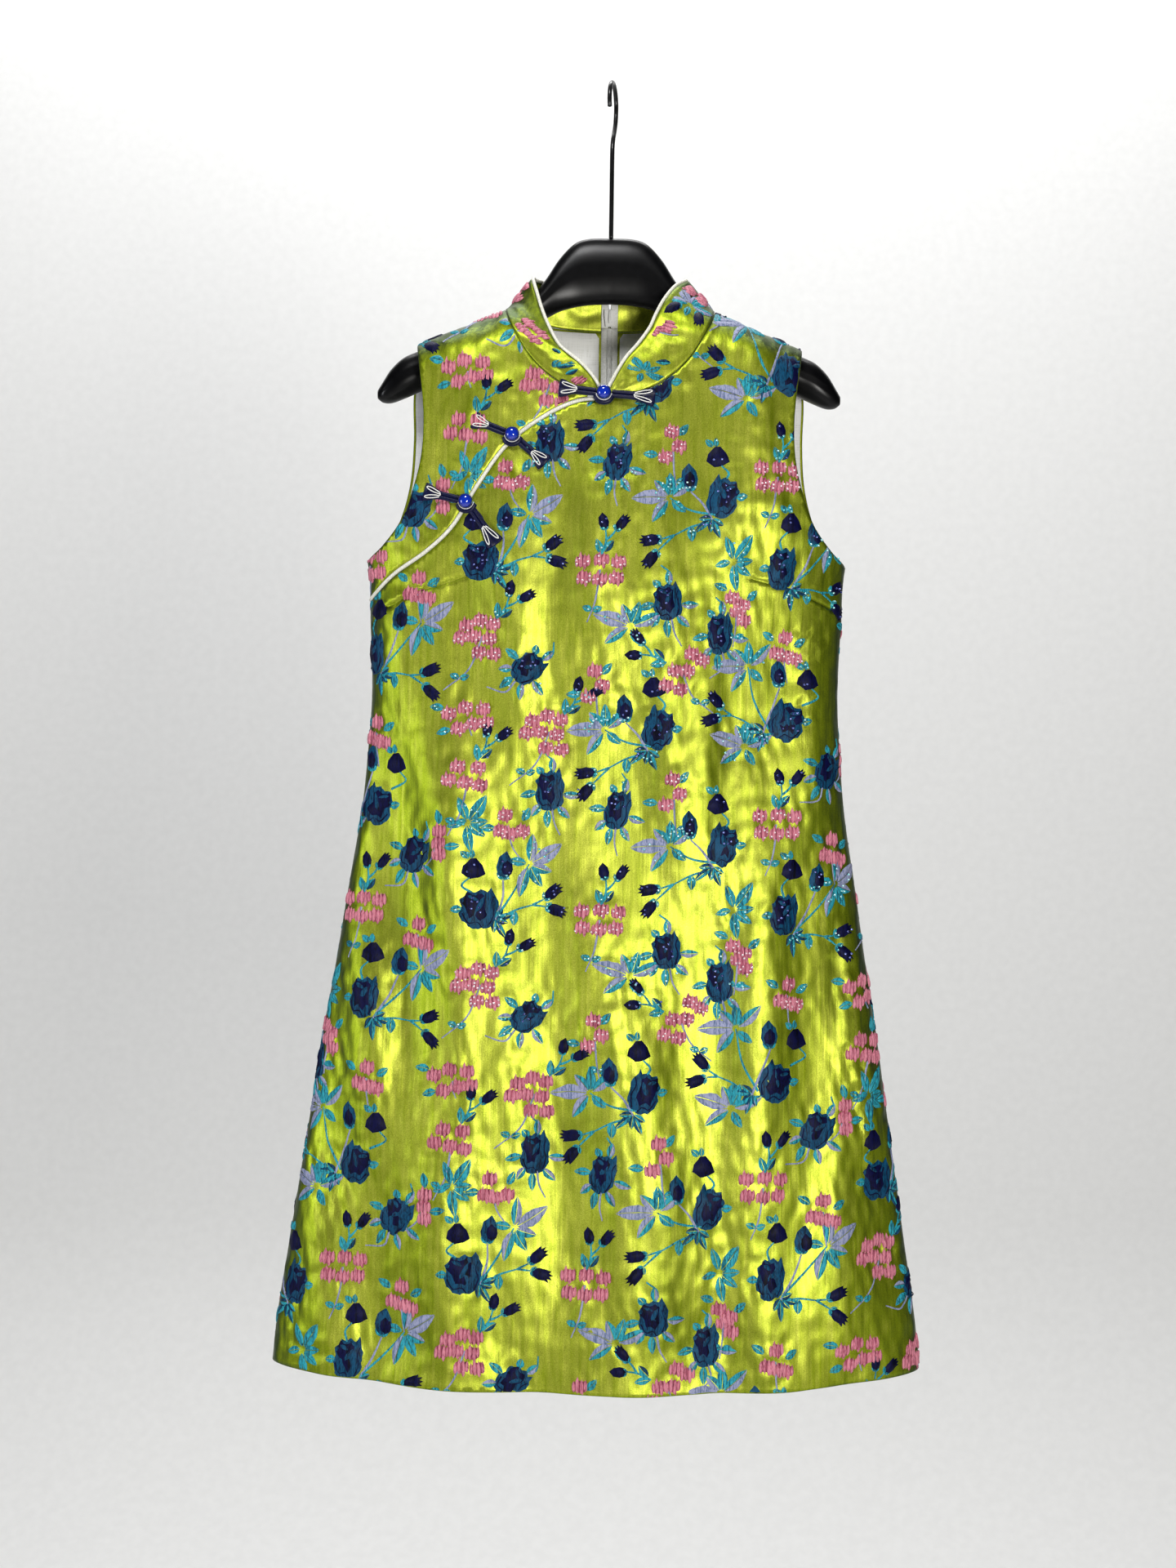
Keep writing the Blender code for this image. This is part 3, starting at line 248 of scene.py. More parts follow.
FLORET_RIBS = (  # each padded rib of a floret: its middle, width and height, as shares of the size
    (-0.39, -0.04, 0.24, 0.66), (-0.15, 0.07, 0.27, 0.98), (0.12, -0.06, 0.27, 0.94),
    (0.37, 0.05, 0.25, 0.7),
)


def floret(x, y, spin=0, size=12.6):
    """A tuft of four padded ribs of pink silk over a darker pink patch, which is painted shade
    showing between the ribs.
    """
    # the darker pink patch under the ribs is painted shade between them
    shapes = patch(FLORET, 0.96 * size, 0.86 * size, PINK_SHADE, 0.0, 0.6, spin, (x, y))
    side = cos(radians(spin))
    for across, up, wide, tall in FLORET_RIBS:
        place = (x + side * across * size, y + side * up * size)
        lean = 90 + ((spin + 90) % 180 - 90) * 0.4
        shapes += patch(BUD, 1.12 * tall * size, wide * size, PINK, 0.5, 1.15, lean, place)
    return shapes


def rose(wide, tall):
    """A half-open rose: teal outer petals with dark edges, and a navy heart with a teal curl."""
    shapes = patch(ROSE_EDGE, wide, tall, TEAL, 0.0, 1.5)
    shapes += patch(ROSE_HEART, wide, tall, NAVY, 1.0, 0.9)
    shapes += patch(BUD, wide * 0.5, tall * 0.13, TEAL, 1.7, 0.5, 62, (0.02 * wide, 0.12 * tall))
    shapes += patch(BUD, wide * 0.34, tall * 0.1, TEAL, 1.7, 0.5, -25, (-0.14 * wide, 0.26 * tall))
    for line in (
        ((-0.8, -0.2), (-0.5, -0.66), (-0.1, -0.6), (0.14, -0.86)),
        ((0.5, -0.7), (0.72, -0.2), (0.58, 0.3), (0.72, 0.62)),
    ):
        shapes += [(np.array(line) * (wide / 2, tall / 2), NAVY, "line", 1.3)]
    return shapes


def round_rose(wide, tall, spin, tail=1):
    """A single rose with a short stem at each end and a few leaves round it."""
    shapes = stem((2, 14), (4, 22), (-4, 30))
    shapes += stem((2, -14), (4, -26), (9 * tail, -36), colour=LILAC, width=2.0)
    for degrees, length, colours in (
        (186, 15, (2, 2)), (226, 13, (2, 3)), (262, 16, (2, 2)), (308, 15, (3, 2)),
        (350, 16, (2, 3)), (82, 13, (2, 3)), (122, 9, (2, 2)),
    ):
        reach = np.array((wide, tall)) * 0.42
        base = reach * (cos(radians(degrees)), sin(radians(degrees)))
        shapes += leaf(base, degrees, length, 7, colours)
    return moved(shapes + rose(wide, tall), spin)


def leaf_spray(spin=0.0, lilac=1, size=1.0):
    """Leaves fanned from one point, of which the largest are half lilac."""
    shapes = []
    for degrees, length, width, colours in (
        (78, 24, 9.5, (2, 3)), (26, 31, 13, (3, 3)), (-24, 18, 9, (3, 2)), (-66, 20, 9, (2, 2)),
        (-112, 27, 10, (2, 3)), (164, 16, 8, (2, 2)),
    ):
        colours = [TURQUOISE + (c - TURQUOISE) * lilac for c in colours]
        shapes += leaf(turned([(2, 0)], degrees)[0], degrees, length * size, width * size, colours)
    return moved(shapes, spin)


def v_buds(base, degrees, open_angle=26):
    """Two navy buds on a forked stem, over a pair of leaves."""
    shapes = stem((0, 0), (3, 12), (2, 22)) + stem((3, 12), (8, 17), (11, 22))
    shapes += leaf((0, 0), 104, 14, 7, (2, 2)) + leaf((2, 2), 62, 13, 7, (2, 1), -0.12)
    shapes += bud((2, 20), 78 + open_angle, 15, 9)
    shapes += bud((10, 20), 78 - open_angle, 17, 9, FRAYED_BUD)
    return moved(shapes, degrees - 90, base)


def cluster(florets, tail, leaves=(), fork=None):
    """Pink florets side by side on a curved stem: tail gives its end, and leaves their places."""
    tail = np.array(tail, float)
    shapes = stem((0, 0), tail * (0.35, 0.6), tail, colour=LILAC, width=2.0)
    if np.hypot(*tail) > 34:
        shapes += leaf(tail * (0.6, 0.78), 150, 9, 6) + leaf(tail * (0.6, 0.78), 10, 9, 6)
    if fork:
        shapes += v_buds(*fork)
    for x, y, degrees in leaves:
        shapes += leaf((x, y), degrees, 13, 7)
    for i, (x, y) in enumerate(florets):
        shapes += floret(x, y, (0, 180, 12, 172, -8)[i % 5])
    return shapes


def stem_rose(calyx, kite, pointed, spray, tips, wide, tall, spin, flip=1):
    """A rose on a branch, with a kite-shaped bud, a pointed bud, a spray of leaves and two frayed
    buds. Places are from the rose's middle."""
    calyx, kite, pointed, spray = (np.array(p, float) for p in (calyx, kite, pointed, spray))
    first, second = (np.array(t, float) for t in tips)
    fork = calyx + ((first + second) / 2 - calyx) * 0.62 + (0, 3)
    shapes = stem(calyx, (calyx + fork) / 2 + (0, 2), fork)
    shapes += leaf((calyx + fork) / 2 + (0, 2), -100, 13, 8)
    for tip, other in ((first, second), (second, first)):
        along = tip - fork + (tip - other) * 0.15
        degrees = np.degrees(np.arctan2(along[1], along[0]))
        base = tip - turned([(9, 0)], degrees)[0]
        shapes += stem(fork, (fork + base) / 2, base) + bud(base, degrees, 19, 10.5, FRAYED_BUD)
    base = pointed - (2 if pointed[0] > 0 else -2, 11)
    shapes += stem(calyx * 0.9, (calyx + base) / 2 + (2, 2), base, colour=LILAC, width=2.6)
    shapes += stem(calyx * 0.8 + (3, 2), (calyx + spray) / 2, spray)
    shapes += moved(leaf_spray(0 if flip > 0 else 150), 0, spray)
    shapes += bud(base, 84 if pointed[0] > 0 else 96, 24, 14.5, colour=TEAL)
    shapes += patch(BUD, 15, 10, NAVY, 1.2, 0.7, 92, pointed + (1, -1))
    side = 1 if kite[0] > pointed[0] else -1
    root = (side * 4 + kite[0] / 2, tall * 0.4)
    shapes += stem(root, kite + (side * 9, -14), kite + (side * 3, -7))
    shapes += leaf(kite + (-4, 8), 130, 9, 6) + leaf(kite + (-2, 8), 80, 8, 5)
    shapes += patch(KITE_BUD, 20, 18, NAVY, 0.0, 1.6, 0, kite)
    away = np.degrees(np.arctan2(calyx[1], calyx[0]))
    for lean, length in ((-70, 12), (-34, 20), (8, 12), (40, 18), (75, 11)):
        shapes += leaf(calyx * 0.85, away + lean, length, 6, (2, 1))
    shapes += leaf((-0.4 * wide * flip, 0), 90 + 88 * flip, 10, 7)
    return shapes + moved(rose(wide, tall), spin, flip=flip)


LOWER_ROW = (-13, -6.5), (0, -7.5), (13, -6.5)
SIX = cluster(((-14, 7), (1, 8), (15, 6.5)) + LOWER_ROW, (-10, -42), fork=((1, 12), 88))
BRANCH = stem_rose((15, -9), (-5, 33), (21, 35), (40, 37), ((59, 14), (62, 0)), 33, 34, 0)
NARROW_BRANCH = stem_rose(
    (10, -18), (6, 37), (29, 30), (46, 25), ((54, -14), (55, -31)), 26, 36, -6)
LEFT_BRANCH = stem_rose(
    (-9, -20), (-4, 34), (-28, 16), (-43, -1), ((-58, -36), (-58, -51)), 26, 36, -14, -1)
HIGH_BRANCH = stem_rose(
    (-22, -10), (19, 35), (-7, 39), (-33, 44), ((-60, 16), (-64, 1)), 31, 34, -18, -1)
EIGHT = ((-14, 9), (-2, 13), (9, 10), (-19, -1), (-7, 0), (6, -2), (-3, -13), (10, -14))
# The repeat: each flower, and its places round and up the cloth on the middle of the front
CHART = (
    (BRANCH, (-100, -687)), (NARROW_BRANCH, (149, -689)), (LEFT_BRANCH, (97, -633), (43, -539)),
    (HIGH_BRANCH, (151, -531)), (SIX, (-2, -694), (142, -615)),
    (round_rose(25, 36, 0), (-44, -590)), (round_rose(23, 35, -14), (11, -605)),
    (round_rose(25, 32, 4), (53, -719)), (round_rose(23, 36, 0, -1), (97, -744)),
    (round_rose(24, 31, -52, -1), (-60, -774)), (round_rose(27, 34, -32, -1), (-157, -644)),
    (cluster(((-16, 4), (-3, 9), (12, 8), (-8, -8), (4, -4), (15, -3)), (3, -14),
        ((-20, 8, 165), (-14, -9, 190))), (-112, -532)),
    (cluster(((-8, 9), (8, 8), (-15, -2), (-2, -4), (10, -6)), (-14, -48), fork=((7, 14), 74)),
        (-111, -580)),
    (cluster(EIGHT, (-32, -44), fork=((12, 14), 66)), (-45, -542), (-98, -748)),
    (cluster(((-2, 9), (-6, -4), (3, -6), (12, -4)), (12, -28), ((-10, -2, 175), (12, 4, 55))),
        (-78, -619)),
    (cluster(((1, 9), (0, -1), (1, -10)), (-16, -22), ((1, 14, 95), (5, -4, 0))), (-133, -633)),
    (cluster(((-1, 12), (5, 0), (-6, -9)), (4, -38), ((4, 9, 40), (-12, -8, 170))), (56, -591),
        (-4, -787)),
    (cluster(((1, 9), (-7, -4), (1, -6), (9, -8)), (3, -28), ((-9, 6, 140), (8, 2, 25))),
        (-153, -709), (153, -754)),
    (cluster(((8, 14), (17, 9), (-6, 0), (5, 0), (-13, -12), (-1, -15)), (26, -34),
        fork=((-13, 6), 168)), (65, -774)),
    (cluster(((-4, 6), (5, 0), (0, -5), (6, -12)), (-3, -34), ((8, 4, 35), (-8, 12, 150))),
        (111, -720)),
    (leaf_spray(24, 0.0, 0.85), (-111, -617), (107, -685)),
    (leaf_spray(130), (115, -552), (23, -739)),
)

# ---- Front panel ------------------------------------------------------------------------------
# The main front of the dress is one piece of satin brocade, cut to a flare. Its upper edge on the
# wearer's right slants from the neck to the side seam, and a dart from each side seam shapes the
# bust. The edges are turned in and the cloth hangs from the shoulder seams.

SHELL = 1.5  # the brocade with its turnings and interfacing
PIPING_RADIUS, PIPING_CLEAR = 1.6, 1.3
SEAM_GAP = 0.3

# The form that the dress hangs in, as the CAD has it
HALF_WIDTHS = (  # z, half width
    (-150, 243), (-190, 240), (-250, 235), (-300, 228), (-350, 214), (-401, 199.5), (-450, 196.5),
    (-510, 194.5), (-570, 198), (-610, 202), (-670, 211.5), (-735, 221.5), (-795, 231.5),
    (-860, 241), (-920, 250), (-980, 259), (-1030, 266.5), (-1068, 270), (-1110, 273),
)
DEPTHS = (  # z, front half depth, back half depth
    (-150, 38, 32), (-190, 40, 34), (-230, 44, 36), (-262, 47, 37), (-300, 51, 38), (-360, 57, 40),
    (-430, 58, 40), (-520, 52, 38), (-620, 50, 40), (-760, 54, 46), (-900, 60, 52), (-1110, 67, 61),
)
NECK_X, NECK_Z = 87, -190
SHOULDER_SLOPE = 0.41
ROLL_DROP, ROLL_LENGTH = 35, 45
SEAM_ANGLE = 89.6 / 90
FRONT_FOLDS = (  # x at top, z at top, x at hem, spread, height
    (-108, -420, -124, 34, 7.0), (-34, -330, -46, 27, -6.5), (14, -430, 34, 30, 5.0),
    (70, -620, 92, 24, -6.0), (124, -430, 154, 28, 7.0), (-150, -560, -184, 20, -5.5),
    (-206, -860, -222, 14, 4.0), (200, -800, 212, 16, -3.5), (82, -262, 84, 13, 2.5),
)
BACK_FOLDS = (
    (-96, -330, -118, 30, 6.5), (-40, -420, -52, 24, -5.0), (44, -380, 58, 26, -5.5),
    (100, -330, 128, 32, 7.0), (-160, -600, -190, 22, -5.0), (164, -640, 196, 20, -5.0),
)
FOLD_GROWTH = 330
UNDERARM_Z, HEM_SIDE_Z, HEM_CENTRE_Z, HEM_HALF_WIDTH = -401, -1067, -1076, 270
SHOULDER_TIP_X = 160
FRONT_NECK = (
    (0, -270), (29.5, -263), (49, -251.5), (64.5, -236.5), (77.5, -216), (84.5, -201), (87, -190),
)
FRONT_ARMHOLE = (
    (160, -220), (154.5, -254), (151.7, -285.6), (153, -316), (159, -342.5), (168.8, -368.5),
    (184.5, -389), (199.5, -401),
)
OPENING = (
    (0, -270), (-24.5, -272), (-51.5, -284.5), (-82, -308), (-106.5, -342.5), (-126.5, -375.5),
    (-148, -395.5), (-176, -414), (-196.6, -433),
)


def smooth(table, where, column=1):
    """The smooth curve through the rows of a table, against their first column."""
    rows = np.array(table if table[0][0] < table[-1][0] else table[::-1], float)
    x, y = rows[:, 0], rows[:, column]
    where = np.clip(where, x[0], x[-1])
    i = np.clip(np.searchsorted(x, where, side="right") - 1, 0, len(x) - 2)
    low, high = np.maximum(np.arange(len(x)) - 1, 0), np.minimum(np.arange(len(x)) + 1, len(x) - 1)
    slope = (y[high] - y[low]) / (x[high] - x[low])
    wide = x[i + 1] - x[i]
    t = (where - x[i]) / wide
    return (
        (2 * t**3 - 3 * t**2 + 1) * y[i] + (t**3 - 2 * t**2 + t) * slope[i] * wide
        + (3 * t**2 - 2 * t**3) * y[i + 1] + (t**3 - t**2) * slope[i + 1] * wide
    )


def curve_through(points, step):
    """Evenly spaced points, about a step apart, on a smooth curve through the given ones."""
    points = np.array(points, float)
    lengths = np.concatenate([[0], np.cumsum(np.linalg.norm(np.diff(points, axis=0), axis=1))])
    count = max(2, ceil(lengths[-1] / step))
    where = np.linspace(0, lengths[-1], count + 1)
    axes = [smooth(list(zip(lengths, points[:, k])), where) for k in range(points.shape[1])]
    return np.stack(axes, axis=1)


def unit(vectors):
    return vectors / np.maximum(np.linalg.norm(vectors, axis=1, keepdims=True), 1e-9)


def ease(share):
    share = np.clip(share, 0, 1)
    return share * share * (3 - 2 * share)


def shoulder_line(x):
    return NECK_Z - SHOULDER_SLOPE * (np.abs(x) - NECK_X)


class Form:
    """One face of the dress. A place on it is (turn, drop): turn goes from -1 at one side seam to
    1 at the other, and drop is the cloth's length below the roll over the shoulder. The cloth's
    own place (s, v) is its distance round from the middle and its height, before it was rolled."""

    def __init__(self, depth_column, facing, folds):
        self.depth_column, self.facing, self.folds = depth_column, facing, folds
        self.rows = np.linspace(HALF_WIDTHS[-1][0], HALF_WIDTHS[0][0], 97)
        self.turns = np.linspace(0, 1, 161)
        angle = self.turns * pi / 2
        wide = smooth(HALF_WIDTHS, self.rows)[:, None] * np.sin(angle)
        deep = smooth(DEPTHS, self.rows, depth_column)[:, None] * np.cos(angle)
        steps = np.hypot(np.diff(wide, axis=1), np.diff(deep, axis=1))
        self.arcs = np.pad(np.cumsum(steps, axis=1), ((0, 0), (1, 0)))

    def view(self, turn, drop):
        """The (x, z) of a place, from a first guess that each pass brings closer."""
        x = 200 * np.sin(turn * pi / 2)
        rolled = ROLL_DROP * (1 - np.sin(np.clip(-drop / ROLL_LENGTH, 0, 1) * pi / 2))
        for _ in range(12):
            z = shoulder_line(x) - np.where(drop >= 0, ROLL_DROP + drop, rolled)
            x = smooth(HALF_WIDTHS, z) * np.sin(turn * pi / 2)
        return x, z

    def place(self, x, z):
        turn = np.arcsin(np.clip(x / smooth(HALF_WIDTHS, z), -1, 1)) / (pi / 2)
        below = shoulder_line(x) - z
        rolled = -np.arcsin(np.clip(1 - below / ROLL_DROP, 0, 1)) / (pi / 2) * ROLL_LENGTH
        return turn, np.where(below >= ROLL_DROP, below - ROLL_DROP, rolled)

    def point(self, turn, drop):
        x, z = self.view(turn, drop)
        folds = np.zeros_like(x)
        for x_top, z_top, x_hem, spread, height in self.folds:
            middle = x_top + (x_hem - x_top) * (z_top - z) / (z_top - HEM_CENTRE_Z)
            grown = height * ease((z_top - z) / FOLD_GROWTH)
            folds += grown * np.exp(-(((x - middle) / spread) ** 2))
        roll = np.clip(-drop / ROLL_LENGTH, 0, 1) * pi / 2
        depth = smooth(DEPTHS, z, self.depth_column) + folds
        return np.stack([x, self.facing * depth * np.cos(turn * pi / 2) * np.cos(roll), z], axis=1)

    def normal(self, turn, drop):
        step, down_step = 0.004, 0.16
        ahead, behind = np.minimum(turn + step, 1), np.maximum(turn - step, -1)
        across = self.point(ahead, drop) - self.point(behind, drop)
        above = np.maximum(drop - down_step, -ROLL_LENGTH)
        down = self.point(turn, drop + down_step) - self.point(turn, above)
        return unit(np.cross(across, down) * self.facing)

    def to_cloth(self, turn, drop):
        x, _ = self.view(turn, drop)
        v = shoulder_line(x) - ROLL_DROP - drop
        row = np.interp(v, self.rows, np.arange(len(self.rows)))
        i = np.minimum(row.astype(int), len(self.rows) - 2)
        column = np.abs(turn) * (len(self.turns) - 1)
        j = np.minimum(column.astype(int), len(self.turns) - 2)
        a, b = row - i, column - j
        low = self.arcs[i, j] * (1 - b) + self.arcs[i, j + 1] * b
        high = self.arcs[i + 1, j] * (1 - b) + self.arcs[i + 1, j + 1] * b
        return np.sign(turn) * (low * (1 - a) + high * a), v

    def from_cloth(self, s, v):
        row = np.interp(v, self.rows, np.arange(len(self.rows)))
        i = np.minimum(row.astype(int), len(self.rows) - 2)
        a = (row - i)[:, None]
        arcs = self.arcs[i] * (1 - a) + self.arcs[i + 1] * a
        reach = np.minimum(np.abs(s), arcs[:, -1])
        j = np.clip((arcs <= reach[:, None]).sum(1) - 1, 0, len(self.turns) - 2)
        pick = np.arange(len(s))
        share = (reach - arcs[pick, j]) / (arcs[pick, j + 1] - arcs[pick, j])
        turn = np.sign(s) * (j + share) / (len(self.turns) - 1)
        drop = shoulder_line(smooth(HALF_WIDTHS, v) * np.sin(turn * pi / 2)) - ROLL_DROP - v
        for _ in range(3):
            x, _ = self.view(turn, np.maximum(drop, -ROLL_LENGTH))
            drop = shoulder_line(x) - ROLL_DROP - v
        return turn, np.maximum(drop, -ROLL_LENGTH)


FRONT = Form(depth_column=1, facing=-1, folds=FRONT_FOLDS)
BACK = Form(depth_column=2, facing=1, folds=BACK_FOLDS)


def mirrored(points):
    return np.array(points, float) * (-1, 1)


def offset_line(points, distance):
    """A flat line beside another, on its left if distance is above 0."""
    along = unit(np.gradient(points, axis=0))
    return points + np.stack([-along[:, 1], along[:, 0]], axis=1) * distance


def seen(form, points):
    """The (turn, drop) of points given as seen from the front."""
    return np.stack(form.place(*np.array(points, float).T), axis=1)


def shoulder_edge(form, side, start_x, end_x, angle=SEAM_ANGLE):
    x = np.linspace(start_x, end_x, ceil(abs(end_x - start_x) / EDGE_STEP) + 1)
    turn, _ = form.place(side * x, shoulder_line(x))
    return np.stack([turn, np.full(len(x), -ROLL_LENGTH * angle)], axis=1)


def side_edge(side, z_start, z_end, turn=SEAM_ANGLE):
    z = np.linspace(z_start, z_end, ceil(abs(z_end - z_start) / EDGE_STEP) + 1)
    drop = shoulder_line(smooth(HALF_WIDTHS, z)) - ROLL_DROP - z
    return np.stack([np.full(len(z), side * turn), drop], axis=1)


def hem_edge(form, turn_start, turn_end, rise=0.0):
    count = ceil(abs(turn_end - turn_start) * HEM_HALF_WIDTH / EDGE_STEP) + 1
    turn = np.linspace(turn_start, turn_end, count)
    x = smooth(HALF_WIDTHS, HEM_SIDE_Z) * np.sin(turn * pi / 2)
    share = np.minimum(np.abs(x) / smooth(HALF_WIDTHS, HEM_SIDE_Z), 1)
    z = HEM_CENTRE_Z + (HEM_SIDE_Z - HEM_CENTRE_Z) * share**2 + rise
    return np.stack([turn, form.place(x, z)[1]], axis=1)


def ripples(s, v, across, down, seed):
    """Random ripples about 1 high, with crests about these distances apart across and down."""
    rng = np.random.default_rng(seed)
    total = np.zeros_like(s)
    for _ in range(RIPPLE_WAVES):
        angle, close, start = rng.uniform(0, 2 * pi), rng.uniform(0.75, 1.3), rng.uniform(0, 2 * pi)
        total += np.cos(2 * pi * close * (s * cos(angle) / across + v * sin(angle) / down) + start)
    return total / sqrt(RIPPLE_WAVES / 2)


RIPPLE_WAVES = 22
EDGE_STEP = 3.0


class Cut:
    """A cut piece of cloth on a form, with its outline and its relief in the cloth's own place."""

    def __init__(self, form, outline, seed, swell=1.0, flowers=None, darts=()):
        self.form, self.seed, self.swell, self.darts = form, seed, swell, darts
        self.outline = np.stack(form.to_cloth(*np.concatenate(outline).T), axis=1)
        self.edge = tree_of(self.outline)
        self.flowers = tree_of(flowers) if flowers is not None else None

    def relief(self, s, v):
        edge = tree_distance(self.edge, s, v)
        free = ease(edge / SWELL_EDGE)
        swells = SWELLS[0] * ripples(s, v, *SWELLS[1:], self.seed)
        drags = DRAGS[0] * ripples(s, v, *DRAGS[1:], self.seed + 1)
        near = 1.0
        if self.flowers is not None:
            far = tree_distance(self.flowers, s, v)
            near = 0.3 + 0.7 * np.exp(-((far / PUCKER_REACH) ** 2))
        fine = ripples(s, v, *PUCKERS[1:], self.seed + 2)
        sharp = ripples(s, v, *CREASES[1:], self.seed + 3)
        puckers = PUCKERS[0] * fine - CREASES[0] * np.exp(-((sharp / 0.3) ** 2))
        total = self.swell * free * (swells + drags)
        total += near * puckers * ease(edge / PUCKER_EDGE)
        for line in self.darts:
            near = line_distance(line, s, v)
            total += DART_PUFF * np.exp(-((near / DART_PUFF_REACH) ** 2))
            total -= (DART_DEPTH + DART_PUFF) * np.exp(-((near / DART_HALF_WIDTH) ** 2))
        _, drop = self.form.from_cloth(s, v)
        most = 0.8 + LINING_SLACK * ease((drop + ROLL_LENGTH) / LINING_SLACK_DROP)
        return np.where(total > 0, total, most * np.tanh(total / most))

    def at(self, s, v, out):
        place = self.form.from_cloth(s, v)
        lift = np.reshape(out + self.relief(s, v), (-1, 1))
        return self.form.point(*place) + self.form.normal(*place) * lift


SWELLS = (3.2, 74, 320)  # height, crest to crest across and down
DRAGS = (0.45, 38, 90)
PUCKERS = (0.5, 13, 21)
CREASES = (0.6, 27, 44)
LINING_SLACK, LINING_SLACK_DROP = 6.0, 300  # the lining comes this free over this drop
SWELL_EDGE, PUCKER_EDGE = 45, 6  # the relief fades out over this much cloth at an edge
PUCKER_REACH = 24
DART_DEPTH, DART_HALF_WIDTH, DART_EDGE = 3.2, 0.6, 1.0
DART_PUFF, DART_PUFF_REACH = 0.7, 7  # the cloth stands up a little beside the seam


def tree_of(points):
    tree = KDTree(len(points))
    for i, point in enumerate(points):
        tree.insert((point[0], point[1], 0), i)
    tree.balance()
    return tree


def tree_distance(tree, s, v):
    """How far places are from the nearest point of a tree."""
    return np.array([tree.find((a, b, 0))[2] for a, b in zip(s, v)])


def line_distance(line, s, v):
    """How far places are from a flat line of points."""
    line = np.array(line, float)
    spots = np.stack([s, v], axis=1)
    best = np.full(len(s), 1e9)
    for a, b in zip(line, line[1:]):
        along = b - a
        share = np.clip((spots - a) @ along / (along @ along), 0, 1)
        best = np.minimum(best, np.linalg.norm(spots - a - share[:, None] * along, axis=1))
    return best


def held_in(outline, spots):
    """Which places lie inside a flat outline."""
    held = np.zeros(len(spots), bool)
    x, y = spots[:, 0], spots[:, 1]
    for (ax, ay), (bx, by) in zip(outline, np.roll(outline, -1, axis=0)):
        if ay != by:
            held ^= ((ay > y) != (by > y)) & (x < ax + (bx - ax) * (y - ay) / (by - ay))
    return held


def flat_triangles(outline, spacing, lines=()):
    """Triangles that fill a flat outline, with a staggered grid of points inside. Points also lie
    along each extra line and on both sides of it, so that a crease can follow it."""
    tracks = []
    for line in lines:
        line = curve_through(line, spacing)
        tracks += [line, offset_line(line, DART_EDGE), offset_line(line, -DART_EDGE)]
    fixed = np.concatenate([outline, *tracks])
    low, high = outline.min(0), outline.max(0)
    row = spacing * sqrt(3) / 2
    wide, tall = high - low
    j, i = np.mgrid[0 : ceil(tall / row) + 1, 0 : ceil(wide / spacing) + 2].reshape(2, -1)
    grid = low + np.stack([spacing * (i + 0.5 * (j % 2)), row * j], axis=1)
    grid = grid[held_in(outline, grid)]
    clear = tree_distance(tree_of(fixed), *grid.T) > 0.6 * spacing
    spots = np.concatenate([fixed, grid[clear]])
    found = delaunay_2d_cdt([Vector(p) for p in spots], [], [list(range(len(outline)))], 1, 1e-6)
    spots, faces = np.array(found[0]), np.array(found[2])
    a, b, c = (spots[faces[:, k]] for k in range(3))
    flipped = np.linalg.det(np.stack([b - a, c - a], axis=1)) < 0
    faces[flipped] = faces[flipped][:, ::-1]
    return spots, faces


def add_piece(name, points, faces, materials, face_materials=None, sharp=None):
    """A mesh from points in millimetres, which moves with the dress."""
    mesh = bpy.data.meshes.new(name)
    points = (np.array(points, float) * MM).tolist()
    mesh.from_pydata(points, [], [tuple(map(int, f)) for f in faces])
    for each in materials:
        mesh.materials.append(each)
    if face_materials is not None:
        mesh.polygons.foreach_set("material_index", np.array(face_materials, np.int32))
    mesh.shade_smooth()
    if sharp:
        mesh.set_sharp_from_angle(angle=sharp)
    made = bpy.data.objects.new(name, mesh)
    bpy.context.scene.collection.objects.link(made)
    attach(made, "root")
    return made


def band_faces(rows, wide, closed=True):
    """Four-sided faces between rows of points, each of which may close into a ring."""
    found = []
    for i in range(rows - 1):
        for k in range(wide if closed else wide - 1):
            a, b = i * wide + k, i * wide + (k + 1) % wide
            found.append((a, b, b + wide, a + wide))
    return found


def halved(quads):
    """Each four-sided face as two triangles."""
    return np.array([f for a, b, c, d in quads for f in ((a, b, c), (a, c, d))])


def joined(parts):
    """The points, faces and materials of several (points, faces, material) as one mesh."""
    points, faces, kinds, count = [], [], [], 0
    for made, each, kind in parts:
        points.append(made)
        faces += [tuple(k + count for k in f) for f in each]
        kinds += [kind] * len(each)
        count += len(made)
    return np.concatenate(points), faces, kinds


def rim_of(faces):
    """The edges of a sheet of triangles that have a face on one side only."""
    pairs = np.concatenate([faces[:, [0, 1]], faces[:, [1, 2]], faces[:, [2, 0]]])
    known = {(a, b) for a, b in pairs.tolist()}
    return [(a, b) for a, b in known if (b, a) not in known]


def shell_piece(name, faces, outer, inner, materials):
    """A thin wall between two copies of a sheet of triangles, with its edge rounded over."""
    rim, count = rim_of(faces), len(outer)
    near = {k: [] for edge in rim for k in edge}
    for a, b, c in faces.tolist():
        for k, others in ((a, (b, c)), (b, (c, a)), (c, (a, b))):
            if k in near:
                near[k] += others
    middle, extra = {}, []
    for k, others in near.items():
        inward = outer[others].mean(0) - outer[k]
        wall = inner[k] - outer[k]
        inward -= wall * (inward @ wall) / max(wall @ wall, 1e-9)
        inward /= max(np.linalg.norm(inward), 1e-9)
        middle[k] = 2 * count + len(extra)
        extra.append((outer[k] + inner[k]) / 2 - inward * EDGE_ROUNDING * np.linalg.norm(wall))
    made = [tuple(f) for f in faces] + [tuple(f[::-1] + count) for f in faces]
    for a, b in rim:
        made.append((b, a, middle[a], middle[b]))
        made.append((middle[b], middle[a], a + count, b + count))
    return add_piece(name, np.concatenate([outer, inner, np.array(extra)]), made, materials)


EDGE_ROUNDING = 0.225  # how far an edge stands out, as a share of its wall


